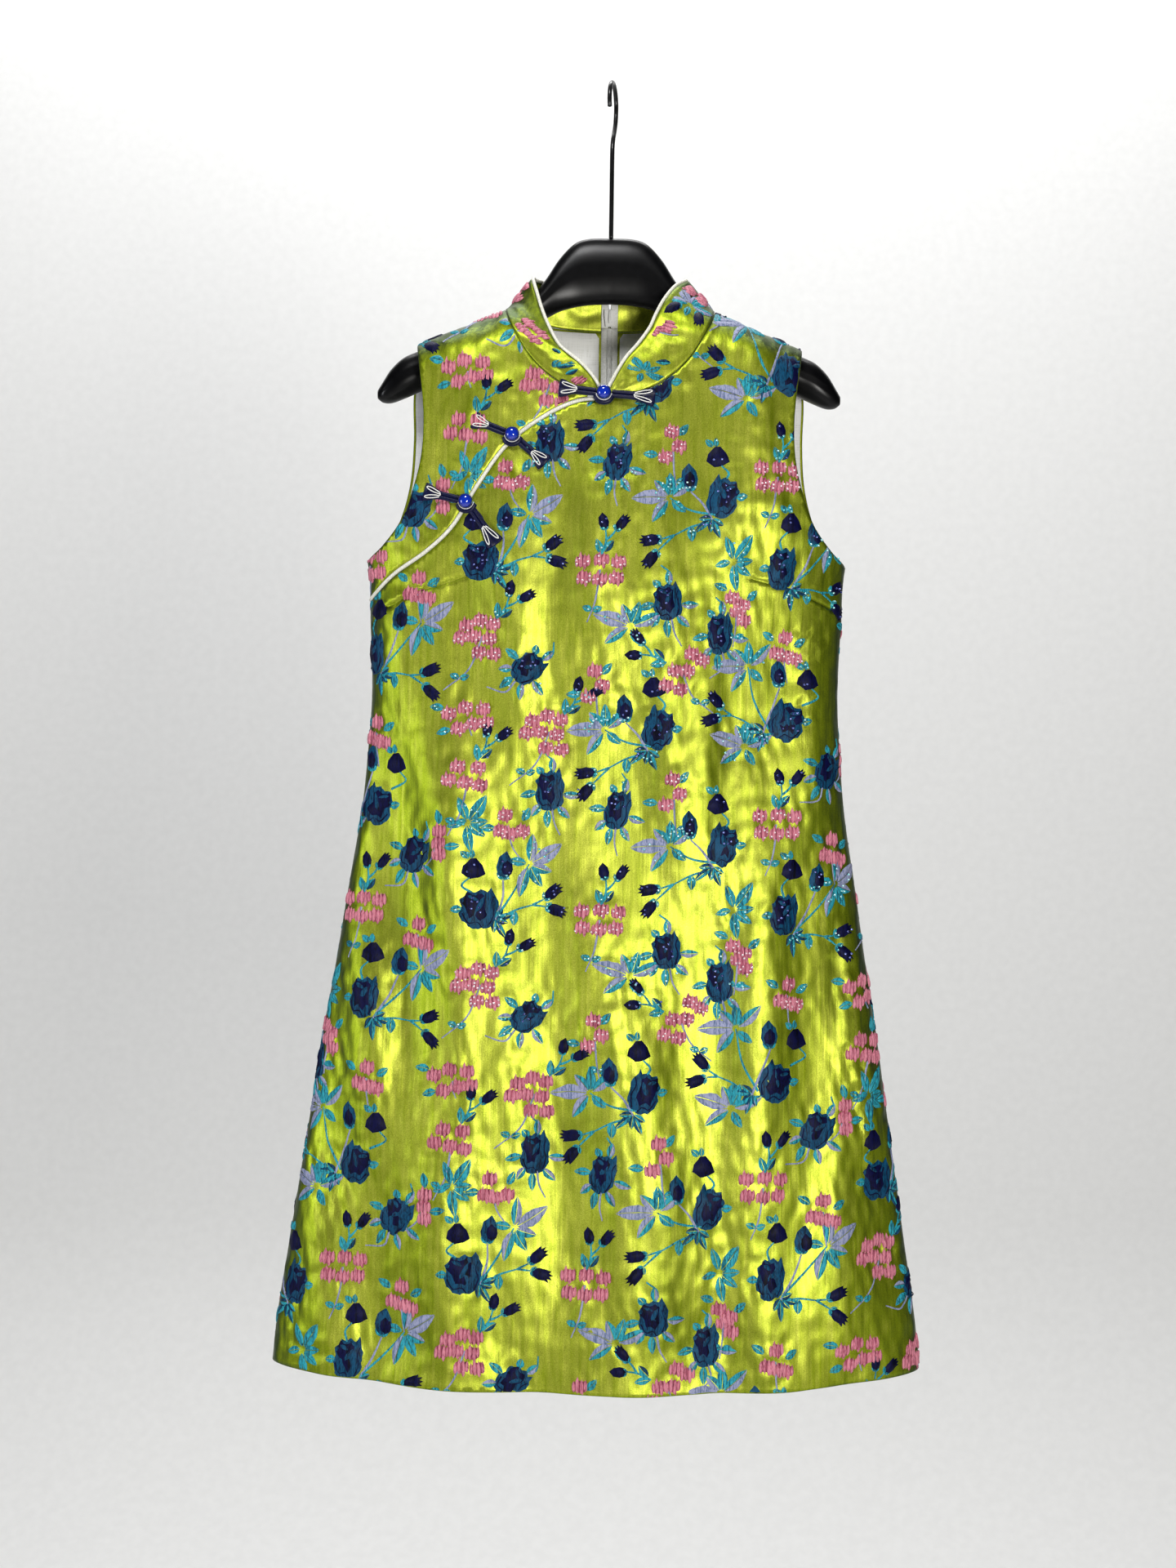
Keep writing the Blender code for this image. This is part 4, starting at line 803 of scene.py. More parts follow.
def cloth_piece(name, cut, spacing, material, lines=(), outer=None, wall=None):
    """The mesh of a cut piece: its outer side, its wall and a rounded edge. outer gives how far
    out the outer side lies where that isn't the brocade's own relief."""
    spots, faces = flat_triangles(cut.outline, spacing, lines)
    if cut.form.facing > 0:
        faces = faces[:, ::-1]
    place = cut.form.from_cloth(*spots.T)
    base, normal = cut.form.point(*place), cut.form.normal(*place)
    lift = (outer or cut.relief)(*spots.T)[:, None]
    inner = base + normal * (lift - (wall or SHELL))
    return shell_piece(name, faces, base + normal * lift, inner, [material])


# The darts: from the side seam to the bust, as places on the cloth
DARTS = (
    ((-203, -453), (-190, -443), (-164, -431), (-134, -422), (-114, -415)),
    ((203, -440), (158, -424), (120, -415)),
)
slant = curve_through(OPENING, EDGE_STEP)
neck = curve_through(FRONT_NECK, EDGE_STEP)
armhole = curve_through(FRONT_ARMHOLE, EDGE_STEP)
below_opening = offset_line(slant, PIPING_RADIUS + SEAM_GAP)[:-1]
end_z = OPENING[-1][1]
front = Cut(
    FRONT,
    [
        seen(FRONT, neck[1:-1]), shoulder_edge(FRONT, 1, NECK_X, SHOULDER_TIP_X),
        seen(FRONT, armhole[1:-1]), side_edge(1, UNDERARM_Z, HEM_SIDE_Z),
        hem_edge(FRONT, SEAM_ANGLE, -SEAM_ANGLE)[1:],
        side_edge(-1, HEM_SIDE_Z, end_z - PIPING_RADIUS - PIPING_CLEAR)[1:],
        seen(FRONT, below_opening[::-1]),
    ],
    seed=11, darts=DARTS,
)


ROUND_STEP, UP_STEP, DOWN_STEP = (345, 73), (-3.5, 283), (-8, -294)  # the repeat's own steps
FLOWER_REACH = 80  # a flower with its stems lies within this distance of its middle
CLOTH_LIMITS = 330, -1140, -140  # the cloth that holds every piece: s either way, v from, v to


def flower_places(facing, shift=(0, 0)):
    """Every flower of the repeat over one face of the dress, as (shapes, s, v). On the back the
    cloth is seen from the other side of the dress, so s runs the other way."""
    found = []
    for shapes, *places in CHART:
        for place in places:
            for i in range(-2, 3):
                for j in range(-3, 4):
                    step = np.array(DOWN_STEP if j > 0 else UP_STEP) * abs(j)
                    s, v = np.array(place) + shift + i * np.array(ROUND_STEP) + step
                    if abs(s) < CLOTH_LIMITS[0] and CLOTH_LIMITS[1] < v < CLOTH_LIMITS[2]:
                        found.append((shapes, -facing * s, v))
    return found


def stem_strip(points, width, lift):
    """The places and heights of a narrow strip: two edges, and a ridge between them."""
    line = curve_through(points, 2.6)
    taper = np.interp(np.linspace(0, 1, len(line)), (0, 0.2, 1), (1, 1, 0.6))[:, None]
    along = unit(np.gradient(line, axis=0))
    side = np.stack([-along[:, 1], along[:, 0]], axis=1) * width / 2 * taper
    spots = np.stack([line + side, line, line - side], axis=1).reshape(-1, 2)
    lifts = np.tile((lift - 0.9, lift, lift - 0.9), len(line))
    return spots, lifts, [f[::-1] for f in band_faces(len(line), 3, closed=False)]


def patch_mesh(outline, lift, dome):
    """A domed patch: its sunk edge, a ring part of the way in, and its middle."""
    after = np.roll(outline, -1, axis=0)
    if (outline[:, 0] * after[:, 1] - outline[:, 1] * after[:, 0]).sum() < 0:
        outline = outline[::-1]
    middle = outline.mean(0)
    spots = np.concatenate([outline, middle + (outline - middle) * 0.78, [middle]])
    count = len(outline)
    lifts = lift + np.repeat((SUNK, 0.72 * dome, dome), (count, count, 1))
    faces = band_faces(2, count)
    return spots, lifts, faces + [(*f[:1:-1], 2 * count) for f in faces]


def raised(shape):
    """The places, heights, faces and colour of a shape."""
    outline, colour, lift, dome = shape
    if lift in LINE_LIFTS:
        return (*stem_strip(outline, dome, LINE_LIFTS[lift]), colour)
    return (*patch_mesh(outline, lift, dome), colour)


SUNK = -0.35  # a patch's edge lies this far under the cloth's own surface
LINE_LIFTS = {"stem": 0.75, "line": 1.75}  # a stem on the cloth, and a dark line on a rose


def weave_flowers(name, cut, places):
    """The raised flowers of one cut piece. What lies past its edge is drawn in to the edge."""
    facing, parts = -cut.form.facing, []
    held = held_in(cut.outline, np.array([(s, v) for _, s, v in places]))
    for (shapes, s, v), inside in zip(places, held):
        if inside or cut.edge.find((s, v, 0))[2] <= FLOWER_REACH:
            for made, heights, quads, colour in map(raised, shapes):
                spots = np.column_stack([made * (facing, 1) + (s, v), heights])
                parts.append((spots, [f[::facing] for f in quads], colour))
    spots, faces, colours = joined(parts)
    held = held_in(cut.outline, spots[:, :2])
    kept = [i for i, f in enumerate(faces) if held[list(f)].any()]
    used = sorted({k for i in kept for k in faces[i]})
    order = {k: i for i, k in enumerate(used)}
    faces = [tuple(order[k] for k in faces[i]) for i in kept]
    spots, held = spots[used], held[used]
    for k, (s, v, lift) in enumerate(spots):
        near, _, far = cut.edge.find((s, v, 0))
        spots[k] = (s, v, min(lift, far * 0.5 + SUNK)) if held[k] else (near[0], near[1], SUNK)
    made = add_piece(name, cut.at(*spots.T), faces, THREADS, [colours[i] for i in kept])
    return made


front_flowers = flower_places(FRONT.facing)
front.flowers = tree_of([(s, v) for _, s, v in front_flowers])
front_cloth = cloth_piece("front_cloth", front, 3.3, BROCADE, lines=front.darts)
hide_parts("front_panel")
front_woven = weave_flowers("front_flowers", front, front_flowers)


def hem_turning(name, cut, start, end):
    """The cloth's lower edge, folded up inside and slip-stitched under the lining."""
    top = [hem_edge(cut.form, start, end, HEM_TURNING)]
    foot = hem_edge(cut.form, start, end, TURNING_FOOT)[::-1]
    band = Cut(cut.form, [*top, foot], cut.seed)

    def inside(s, v):
        return cut.relief(s, v) - SHELL - TURNING_GAP

    made = cloth_piece(name, band, 6.0, BROCADE, outer=inside, wall=TURNING_WALL)
    return made


HEM_TURNING, TURNING_FOOT, TURNING_GAP, TURNING_WALL = 34, 1.2, 0.12, 0.6
front_turning = hem_turning("front_hem_turning", front, SEAM_ANGLE, -SEAM_ANGLE)

# ---- Shoulder piece ---------------------------------------------------------------------------
# A small separate piece of brocade fills the wearer's right shoulder above the slanting opening,
# sewn to the back at the shoulder and to the side seam under the arm.

POINT_X = 17  # it comes to a point this far from the middle
above_opening = offset_line(slant, -PIPING_RADIUS - SEAM_GAP)[:-1]
right_neck = mirrored(neck)[:-1]
shoulder = Cut(
    FRONT,
    [
        seen(FRONT, above_opening[above_opening[:, 0] < -POINT_X - 1]),
        side_edge(-1, end_z + PIPING_RADIUS + PIPING_CLEAR, UNDERARM_Z),
        seen(FRONT, mirrored(armhole)[1:-1][::-1]),
        shoulder_edge(FRONT, -1, SHOULDER_TIP_X, NECK_X),
        seen(FRONT, right_neck[right_neck[:, 0] < -POINT_X][::-1]),
    ],
    seed=12, swell=0.8,
)
shoulder.flowers = front.flowers
shoulder_cloth = cloth_piece("shoulder_cloth", shoulder, 3.0, BROCADE)
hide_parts("front_shoulder_piece")
shoulder_woven = weave_flowers("shoulder_flowers", shoulder, front_flowers)

# ---- Back panels ------------------------------------------------------------------------------
# Two backs meet at the centre, where a concealed zip is sewn into the seam from the collar's edge
# to the small of the back. Below it they are sewn together to the hem.

BACK_NECK = ((0, -199.5), (20, -199), (45, -197), (70, -193.5), (83, -191), (87, -190))
BACK_ARMHOLE = (
    (160, -220), (165, -256), (164.5, -296), (167, -332), (175, -364), (186.5, -388), (199.5, -401),
)
CENTRE_GAP = 0.7  # each back's edge from the middle
SIDES = (1, "left"), (-1, "right")  # the wearer's own


def centre_edge(x, z_bottom, z_top):
    """The edge up the centre back, this far from the middle, and its turn."""
    turn = x / smooth(HALF_WIDTHS, UNDERARM_Z) / (pi / 2)
    _, (bottom, top) = BACK.place(np.zeros(2), np.array((z_bottom, z_top), float))
    drops = np.linspace(bottom, top, ceil((bottom - top) / EDGE_STEP) + 1)
    return np.stack([np.full(len(drops), turn), drops], axis=1), turn


back_flowers = flower_places(BACK.facing, shift=(118, 40))
for side, word in SIDES:
    half_neck = curve_through(BACK_NECK, EDGE_STEP)[1:-1] * (side, 1)
    half_arm = curve_through(BACK_ARMHOLE, EDGE_STEP)[1:-1] * (side, 1)
    centre_line, centre = centre_edge(side * CENTRE_GAP, HEM_CENTRE_Z, BACK_NECK[0][1])
    back = Cut(
        BACK,
        [
            centre_line, seen(BACK, half_neck),
            shoulder_edge(BACK, side, NECK_X, SHOULDER_TIP_X), seen(BACK, half_arm),
            side_edge(side, UNDERARM_Z, HEM_SIDE_Z),
            hem_edge(BACK, side * SEAM_ANGLE, centre)[1:-1],
        ],
        seed=20 + side, flowers=[(s, v) for _, s, v in back_flowers],
    )
    cloth = cloth_piece("back_cloth_" + word, back, 3.6, BROCADE)
    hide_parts("back_panel_" + word)
    woven = weave_flowers("back_flowers_" + word, back, back_flowers)
    lap = centre * (-2 if side > 0 else 3.4)  # the left turning laps under the right back's edge
    turning = hem_turning(f"back_hem_turning_{word}", back, side * SEAM_ANGLE, lap)

# ---- Lining -----------------------------------------------------------------------------------
# A plain white woven lining is sewn in close at the neck, the armholes and the zip, and hangs free
# below, with its own hem a little above the dress's.

LINING_WALL, LINING_EDGE, LINING_HEM_RISE, LINING_GAP = 1.0, 1.6, 28, 0.9
LINING_SEAM = 0.98 * SEAM_ANGLE
LINING_ZIP_EDGE = 7.6


def plain_lining():
    """Plain white taffeta, with a crossed thread that shows as fine lines both ways."""
    made, tree, shader = new_material("white taffeta lining")
    threads = {0: crests(tree, 0.9, 14), 1: crests(tree, 14, 0.9)}
    thread = add_node(tree, "Math", threads, operation="ADD")
    bump = add_node(tree, "Bump", {"Strength": 0.25, "Distance": 0.0003, "Height": thread})
    set_inputs(tree, shader, {
        "Base Color": add_node(tree, "ValToRGB", {0: thread}, ((0.6, "#E2E2DC"), (1.0, "#FAFAF7"))),
        "Roughness": 0.55, "Sheen Weight": 0.2, "Normal": bump})
    return made


WHITE_LINING = plain_lining()


def lining_off(cut):
    """The lining's outer side, off the form: sewn close at the top and free below."""
    def outer(s, v):
        _, drop = cut.form.from_cloth(s, v)
        slack = LINING_SLACK * ease((drop + ROLL_LENGTH) / LINING_SLACK_DROP)
        loose = slack / LINING_SLACK
        waves = 1.6 * loose * ripples(s, v, 60, 260, cut.seed)
        return -(SHELL + LINING_GAP + slack) - np.abs(waves)
    return outer


def lined(name, form, outline, seed):
    cut = Cut(form, outline, seed)
    made = cloth_piece(name, cut, 6.5, WHITE_LINING, outer=lining_off(cut), wall=LINING_WALL)
    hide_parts(name.replace("cloth", "").strip("_"))
    return made


top_trim = (ROLL_LENGTH * SEAM_ANGLE - 0.5) / ROLL_LENGTH
lining_neck = offset_line(neck, -LINING_EDGE)
lining_arm = offset_line(armhole, -LINING_EDGE)
halves = []
for side in (1, -1):
    halves.append([
        seen(FRONT, lining_neck[:-1] * (side, 1)),
        shoulder_edge(FRONT, side, NECK_X + 3, SHOULDER_TIP_X - 3, top_trim),
        seen(FRONT, lining_arm[1:-1] * (side, 1)),
        side_edge(side, UNDERARM_Z - 4, HEM_SIDE_Z + LINING_HEM_RISE, LINING_SEAM),
    ])
front_lining = lined(
    "lining_front_cloth", FRONT,
    halves[0] + [hem_edge(FRONT, LINING_SEAM, -LINING_SEAM, LINING_HEM_RISE)[1:-1]]
    + [edge[::-1] for edge in halves[1][::-1]][:-1] + [halves[1][0][:0:-1]],
    seed=31,
)
for side, word in SIDES:
    half_neck = offset_line(curve_through(BACK_NECK, EDGE_STEP), -LINING_EDGE)
    half_neck = half_neck[half_neck[:, 0] > LINING_ZIP_EDGE + 4] * (side, 1)
    half_arm = offset_line(curve_through(BACK_ARMHOLE, EDGE_STEP), -LINING_EDGE) * (side, 1)
    centre_line, centre = centre_edge(
        side * LINING_ZIP_EDGE, HEM_CENTRE_Z + LINING_HEM_RISE, BACK_NECK[0][1] - LINING_EDGE)
    back_lining = lined(
        f"lining_back_{word}_cloth", BACK,
        [
            centre_line, seen(BACK, half_neck[:-1]),
            shoulder_edge(BACK, side, NECK_X + 3, SHOULDER_TIP_X - 3, top_trim),
            seen(BACK, half_arm[1:-1]),
            side_edge(side, UNDERARM_Z - 4, HEM_SIDE_Z + LINING_HEM_RISE, LINING_SEAM),
            hem_edge(BACK, side * LINING_SEAM, centre, LINING_HEM_RISE)[1:-1],
        ],
        seed=32 + side,
    )

# ---- Collar -----------------------------------------------------------------------------------
# The stand collar is two halves, each of two layers of brocade over stiff interfacing. Their ends
# meet at the front opening and at the zip, and they are sewn to the neck edge of the panels.

COLLAR_WALL = 2.2
COLLAR_PIPING_RADIUS = 1.4
COLLAR_GAP, COLLAR_BOW, COLLAR_LIFT, COLLAR_STEP = 0.8, 1.2, 0.8, 2.6
COLLAR_MARGINS = 8, 6, 5  # flowers stop this far from the front end, the back end and the top
FRONT_MIDDLE_X = -4.5
COLLAR_BACK = (  # share of the way round, x, y, z
    (0.67, 62, 9, -161.5), (0.75, 53, 19.5, -161.5), (0.86, 34, 26.5, -162), (0.93, 17, 28.5, -162),
    (1.0, 2.2, 29, -162),
)
COLLAR_LEFT = (
    (0.0, -2.3, -48, -264), (0.05, 1.5, -48, -256.5), (0.11, 7, -47, -246),
    (0.18, 13.5, -46, -235.5), (0.27, 23, -43, -224), (0.37, 32.5, -38, -209.5),
    (0.43, 37.5, -34, -197.5), (0.49, 44, -28, -184.5), (0.56, 53.5, -16, -170.5),
    (0.62, 63, -2, -162.5),
) + COLLAR_BACK
COLLAR_RIGHT = (
    (0.0, 6.7, -48, -264), (0.06, 10.5, -48, -256.5), (0.12, 16, -47.3, -249),
    (0.2, 23.5, -46, -241), (0.29, 32.5, -43.5, -233.5), (0.37, 41.7, -40, -225),
    (0.45, 49.5, -34, -210.5), (0.52, 56, -26, -194), (0.58, 61, -16.5, -177),
    (0.62, 64.5, -7, -164),
) + COLLAR_BACK


class Collar:
    """Half of the collar, from the front opening to the centre back, worked out on the wearer's
    left and turned over for the right. A place on it is (share of the way round, height)."""

    def __init__(self, side, line):
        self.side, self.line = side, line
        self.start_x = side * FRONT_MIDDLE_X
        low = curve_through(FRONT_NECK, 3)
        low = np.concatenate([[(self.start_x, low[0, 1])], low[low[:, 0] > self.start_x + 2]])
        low = FRONT.point(*FRONT.place(*low.T))
        high = BACK.point(*BACK.place(*curve_through(BACK_NECK, 3).T))
        self.ring = curve_through(np.concatenate([low, high[-2::-1]]), 3)
        self.length = np.linalg.norm(np.diff(self.ring, axis=0), axis=1).sum()

    def base(self, share):
        stations = np.linspace(0, 1, len(self.ring))
        return np.stack([np.interp(share, stations, axis) for axis in self.ring.T], axis=1)

    def piping(self, share):
        return np.stack([smooth(self.line, share, k) for k in (1, 2, 3)], axis=1)

    def cloth(self, share, height):
        low, high = np.maximum(share - 0.01, 0), np.minimum(share + 0.01, 1)
        rise = unit(self.piping(share) - self.base(share))
        slant = np.linalg.norm(np.cross(rise, unit(self.piping(high) - self.piping(low))), axis=1)
        foot = self.base(share) + rise * COLLAR_LIFT
        gap = (COLLAR_PIPING_RADIUS + SEAM_GAP) / np.maximum(slant, 0.5)
        top = self.piping(share) - rise * gap[:, None]
        height = np.reshape(height, (-1, 1))
        found = foot + (top - foot) * height
        outward = unit(np.stack([found[:, 0] * 0.4, found[:, 1], np.zeros(len(found))], axis=1))
        return found + outward * COLLAR_BOW * 4 * height * (1 - height)

    def face(self, share, height, out):
        """Points off the middle of the wall, kept clear of the other half of the collar."""
        low, high = np.maximum(share - 0.02, 0), np.minimum(share + 0.02, 1)
        around = self.cloth(high, height) - self.cloth(low, height)
        up = self.cloth(share, np.ones(len(share))) - self.cloth(share, np.zeros(len(share)))
        found = self.cloth(share, height) + unit(np.cross(around, up)) * np.reshape(out, (-1, 1))
        front = self.start_x + COLLAR_GAP + 2 * COLLAR_PIPING_RADIUS + SEAM_GAP
        least = np.where(share > 0.5, COLLAR_GAP, front)
        found[:, 0] = np.maximum(found[:, 0], least)
        return found * (self.side, 1, 1)

    def rise(self, s):
        share = np.clip(s / self.length, 0, 1)
        return np.linalg.norm(self.piping(share) - self.base(share), axis=1)

    def at(self, s, h, out):
        """Points by their distance round from the front, and up from the seam, in millimetres."""
        height = np.clip(h / np.maximum(self.rise(s) - 2, 1), 0, 1)
        relief = 0.25 * ripples(s, h, 16, 20, 41) * 4 * height * (1 - height)
        share = np.clip(s / self.length, 0, 1)
        return self.face(share, height, COLLAR_WALL / 2 + out + relief)


COLLAR_FLOWERS = {  # the flowers on each half: shapes, distance round, height, turn
    "left": (
        (leaf_spray(24, 0.0, 0.7), 45, 15, 20), (cluster(((0, 5), (8, -3)), (4, -14)), 92, 33, 0),
        (bud((0, 0), 150, 18, 10), 128, 30, 0), (bud((0, 0), 200, 18, 10, FRAYED_BUD), 126, 14, 0),
        (leaf((0, 0), 120, 12, 6, (2, 1)), 68, 8, 0), (cluster(((0, 8), (-8, -4), (5, -5)),
            (4, -18)), 150, 20, 10),
        (round_rose(25, 34, 0), 196, 17, 0), (leaf_spray(10, 1, 0.8), 130, 22, 0),
    ),
    "right": (
        (cluster(((-7, 7), (5, 9), (-2, -5), (9, -4)), (-4, -24)), 101, 14, 24),
        (v_buds((0, 0), 96), 56, 8, 0),
        (bud((0, 0), 170, 14, 9), 126, 33, 0), (leaf((0, 0), 80, 12, 6, (2, 1)), 42, 8, 0),
        (floret(0, 0, 10, 11), 29, 9, 0), (leaf((0, 0), -10, 10, 6, (2, 1)), 82, 26, 0),
        (cluster(((-8, 6), (4, 8), (-2, -6), (10, -4)), (-4, -24)), 160, 20, 0),
        (round_rose(26, 32, 30), 204, 18, 0),
    ),
}
collars = {}
for (side, word), line in zip(SIDES, (COLLAR_LEFT, COLLAR_RIGHT)):
    collar = collars[word] = Collar(side, line)
    columns, rows = ceil(collar.length / COLLAR_STEP), 16
    grid = np.mgrid[0 : columns + 1, 0 : rows + 1].reshape(2, -1)
    share, height = grid[0] / columns, grid[1] / rows
    faces = halved(band_faces(columns + 1, rows + 1, closed=False))[:, ::-side]
    fine = 0.3 * ripples(share * collar.length, height * 40, 17, 19, 43 + side)
    fine *= 4 * height * (1 - height)
    outer, inner = (
        collar.face(share, height, half + fine) for half in (COLLAR_WALL / 2, -COLLAR_WALL / 2))
    cloth = shell_piece("collar_cloth_" + word, faces, outer, inner, [BROCADE])
    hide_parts("collar_" + word)
    parts = []
    for shapes, s, h, degrees in COLLAR_FLOWERS[word]:
        for made, heights, quads, colour in map(raised, shapes):
            place = turned(made, degrees) * (side, 1) + (s, h)
            around = np.clip(place[:, 0], COLLAR_MARGINS[0], collar.length - COLLAR_MARGINS[1])
            up = np.clip(place[:, 1], 1, collar.rise(around) - COLLAR_MARGINS[2])
            over = (around != place[:, 0]) | (up != place[:, 1])
            if not over.all():
                spots = collar.at(around, up, np.where(over, SUNK, heights))
                parts.append((spots, quads, colour))
    points, faces, colours = joined(parts)
    woven = add_piece("collar_flowers_" + word, points, faces, THREADS, colours)

# ---- Piping -----------------------------------------------------------------------------------
# White satin bias strip over a thin cord edges the collar's top and front ends, and the slanting
# opening from the neck to the side seam.


# Ivory satin bias: smooth and softly glossy, with the slanted lines of its weave
WHITE_SATIN = grained(
    "ivory satin piping", 0.8, 2.4, ((0.35, "#D6D4C0"), (0.6, "#F6F5EA")),
    {"Roughness": 0.42, "Sheen Weight": 0.2}, bump=(0.3, 0.0003),
)


def round_cord(line, radius, sides=14):
    """Points and faces of a round cord along a line of points, with domed ends."""
    line = np.array(line, float)
    count = len(line)
    along = unit(np.gradient(line, axis=0))
    start = (0.3, 0.2, 1.0) if abs(along[0][2]) < 0.8 else (1.0, 0.2, 0.1)
    side = unit(np.cross(along[:1], start))[0]
    angle = np.linspace(0, 2 * pi, sides, endpoint=False)[:, None]
    points = []
    for place, ahead in zip(line, along):
        side = side - ahead * (side @ ahead)
        side /= np.linalg.norm(side)
        ring = np.cos(angle) * side + np.sin(angle) * np.cross(ahead, side)
        points.append(place + radius * ring)
    dome = radius * 0.4
    points += [[line[0] - along[0] * dome], [line[-1] + along[-1] * dome]]
    faces, first = band_faces(count, sides), count * sides
    for k in range(sides):
        n = (k + 1) % sides
        faces += [(first, n, k), (first + 1, first - sides + k, first - sides + n)]
    return np.concatenate(points), faces


for side, word in SIDES:
    collar = collars[word]
    share = np.linspace(0, 1, 110)
    edge = collar.piping(share)
    least = np.where(share < 0.5, collar.start_x + COLLAR_GAP + COLLAR_PIPING_RADIUS, COLLAR_GAP)
    edge[:, 0] = np.maximum(edge[:, 0], least)
    foot = collar.base(np.zeros(1))[0]
    start = np.array([(least[0], foot[1], foot[2] + COLLAR_LIFT + COLLAR_PIPING_RADIUS)])
    line = curve_through(np.concatenate([start, edge]) * (side, 1, 1), 2.2)
    cord = round_cord(line, COLLAR_PIPING_RADIUS)
    made = add_piece("collar_piping_" + word, *cord, [WHITE_SATIN])
    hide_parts("piping_collar_" + word)


def on_front(spots, out):
    """Points over the front's form, given as seen from the front."""
    place = FRONT.place(*np.array(spots, float).T)
    return FRONT.point(*place) + FRONT.normal(*place) * np.reshape(out, (-1, 1))


opening_line = on_front(curve_through(OPENING, 2.4)[4:], -0.4)
made = add_piece("opening_piping", *round_cord(opening_line, PIPING_RADIUS), [WHITE_SATIN])
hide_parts("piping_opening")

# ---- Beads ------------------------------------------------------------------------------------
# Small glass beads are sewn by hand over the flowers in the middle of the front: dark blue ones on
# the roses and buds, clear pink ones on the florets, and turquoise ones along the leaves.

BEADED = (-124, 156, -790, -300)  # the beaded part of the front: s from, s to, v from, v to
BEAD_RADIUS = 1.15


# Silver-lined glass seed beads, each a little lighter or darker than the next; their colours are
# partly the glass's own and partly lightened as painted glints.
BEAD_GLASS = [
    grained(
        f"{name} glass beads", 2.0, 2.0, ((0.35, dark), (0.65, light)),
        {"Roughness": 0.08, "Metallic": 0.25, "IOR": 1.55, "Coat Weight": 0.8}, detail=0.0,
    )
    for name, light, dark in (
        ("dark blue", "#8C9AE8", "#20287A"), ("turquoise", "#D8FFFF", "#58D4DC"),
        ("clear pink", "#FFFAFC", "#FFC4D4"),
    )
]
BEADS_ON = {  # for each thread, the colour of the beads sewn on it, and how many to a patch
    NAVY: (0, 1), TEAL: (0, 1), TURQUOISE: (1, 2), LILAC: (1, 2), PINK: (2, 2), PINK_SHADE: (2, 1),
}
LARGE_PATCH, LARGE_PATCH_BEADS = 8, 3  # a navy or teal patch this wide carries more
BEAD_CHANCE, BEAD_SPREAD = 0.72, 0.24

rng = np.random.default_rng(5)
spots, kinds = [], []
for shapes, s, v in front_flowers:
    if not (BEADED[0] < s < BEADED[1] and BEADED[2] < v < BEADED[3]):
        continue
    for outline, colour, lift, dome in shapes:
        if lift in LINE_LIFTS:
            continue
        wide = np.ptp(outline, axis=0)
        kind, amount = BEADS_ON[colour]
        if kind == 0 and wide.min() > LARGE_PATCH:
            amount = LARGE_PATCH_BEADS
        for _ in range(amount):
            if rng.random() < BEAD_CHANCE:
                away = rng.uniform(-BEAD_SPREAD, BEAD_SPREAD, 2) * wide
                spots.append((*(outline.mean(0) + away + (s, v)), lift + dome + 0.45))
                kinds.append(kind)
spots = np.array(spots)
kept = []
for i, spot in enumerate(spots):
    if all(np.hypot(*(spot - spots[k])[:2]) > 2.2 * BEAD_RADIUS for k in kept[-60:]):
        kept.append(i)
kept = [k for k, inside in zip(kept, held_in(front.outline, spots[kept, :2])) if inside]
sides, ball = 6, [(0, 0, -0.8)]
for height in (-0.62, 0.0, 0.62):
    wide = sqrt(1 - height**2)
    for turn in np.arange(sides) * 2 * pi / sides:
        ball.append((wide * cos(turn), wide * sin(turn), height * 0.85))
ball = np.array(ball + [(0, 0, 0.8)]) * BEAD_RADIUS
last = len(ball) - 1
ball_faces = [tuple(k + 1 for k in f) for f in band_faces(3, sides)]
for k in range(sides):
    n = (k + 1) % sides
    ball_faces += [(0, 1 + n, 1 + k), (last, last - sides + k, last - sides + n)]
middles = front.at(*spots[kept].T)
parts = [(middle + ball, ball_faces, kinds[k]) for middle, k in zip(middles, kept)]
points, faces, bead_kinds = joined(parts)
beads = add_piece("front_beads", points, faces, BEAD_GLASS, bead_kinds)

# ---- Frog fasteners ---------------------------------------------------------------------------
# Three frogs close the neck and the slant. Each has two arms of navy satin cord, doubled and
# stitched flat, which spread at the end round two teardrops of white cord. A round cobalt button
# sits in the middle, with a white cord under its lower edge.

FROGS = (  # name, ball, wearer's right end, wearer's left end, off the form, ball off the form
    ("collar", (-4.5, -267), (-41, -263), (37, -270), 3.3, 3.1),
    ("chest", (-78, -301.5), (-111, -288.5), (-51, -325), 0.3, 1.3),
    ("side", (-114.5, -356), (-150, -347), (-90, -391), 0.3, 1.5),
)
FROG_THICK, BALL_RADIUS, BALL_HALF_HEIGHT, ARM_START = 3.0, 6.0, 5.0, 6.5
ARM_OUTLINE = (  # share of the arm's length, half width
    (0.0, 3.2), (0.25, 3.3), (0.5, 3.4), (0.64, 4.2), (0.78, 5.9), (0.9, 7.2), (0.97, 7.2),
    (1.0, 5.6),
)
ARM_END, ARM_LEAST = 4.2, 0.12  # its end's half width, and its edge's share of the height
ARM_PART, ARM_PARTED = 0.52, 0.3  # from this share on, over this share, the cords spread
CORD_RADIUS, LOOP_START, LOOP_LENGTH, LOOP_SUNK = 0.42, 0.53, 0.39, 0.27
LOOP_ROOT, LOOP_SPREAD, LOOP_WIDTH, LEG_GAP = 1.2, 0.24, 1.4, 0.5
BUTTON_CORD_RADIUS, BUTTON_CORD_OFF, BUTTON_CORD_GAP = 0.36, 3.0, 0.3
KNOT_RADIUS, KNOT_OFF, KNOT_HALF_WIDTH, KNOT_DROP, KNOT_SAG = 2.3, 0.9, 6.6, 2.2, 5.2


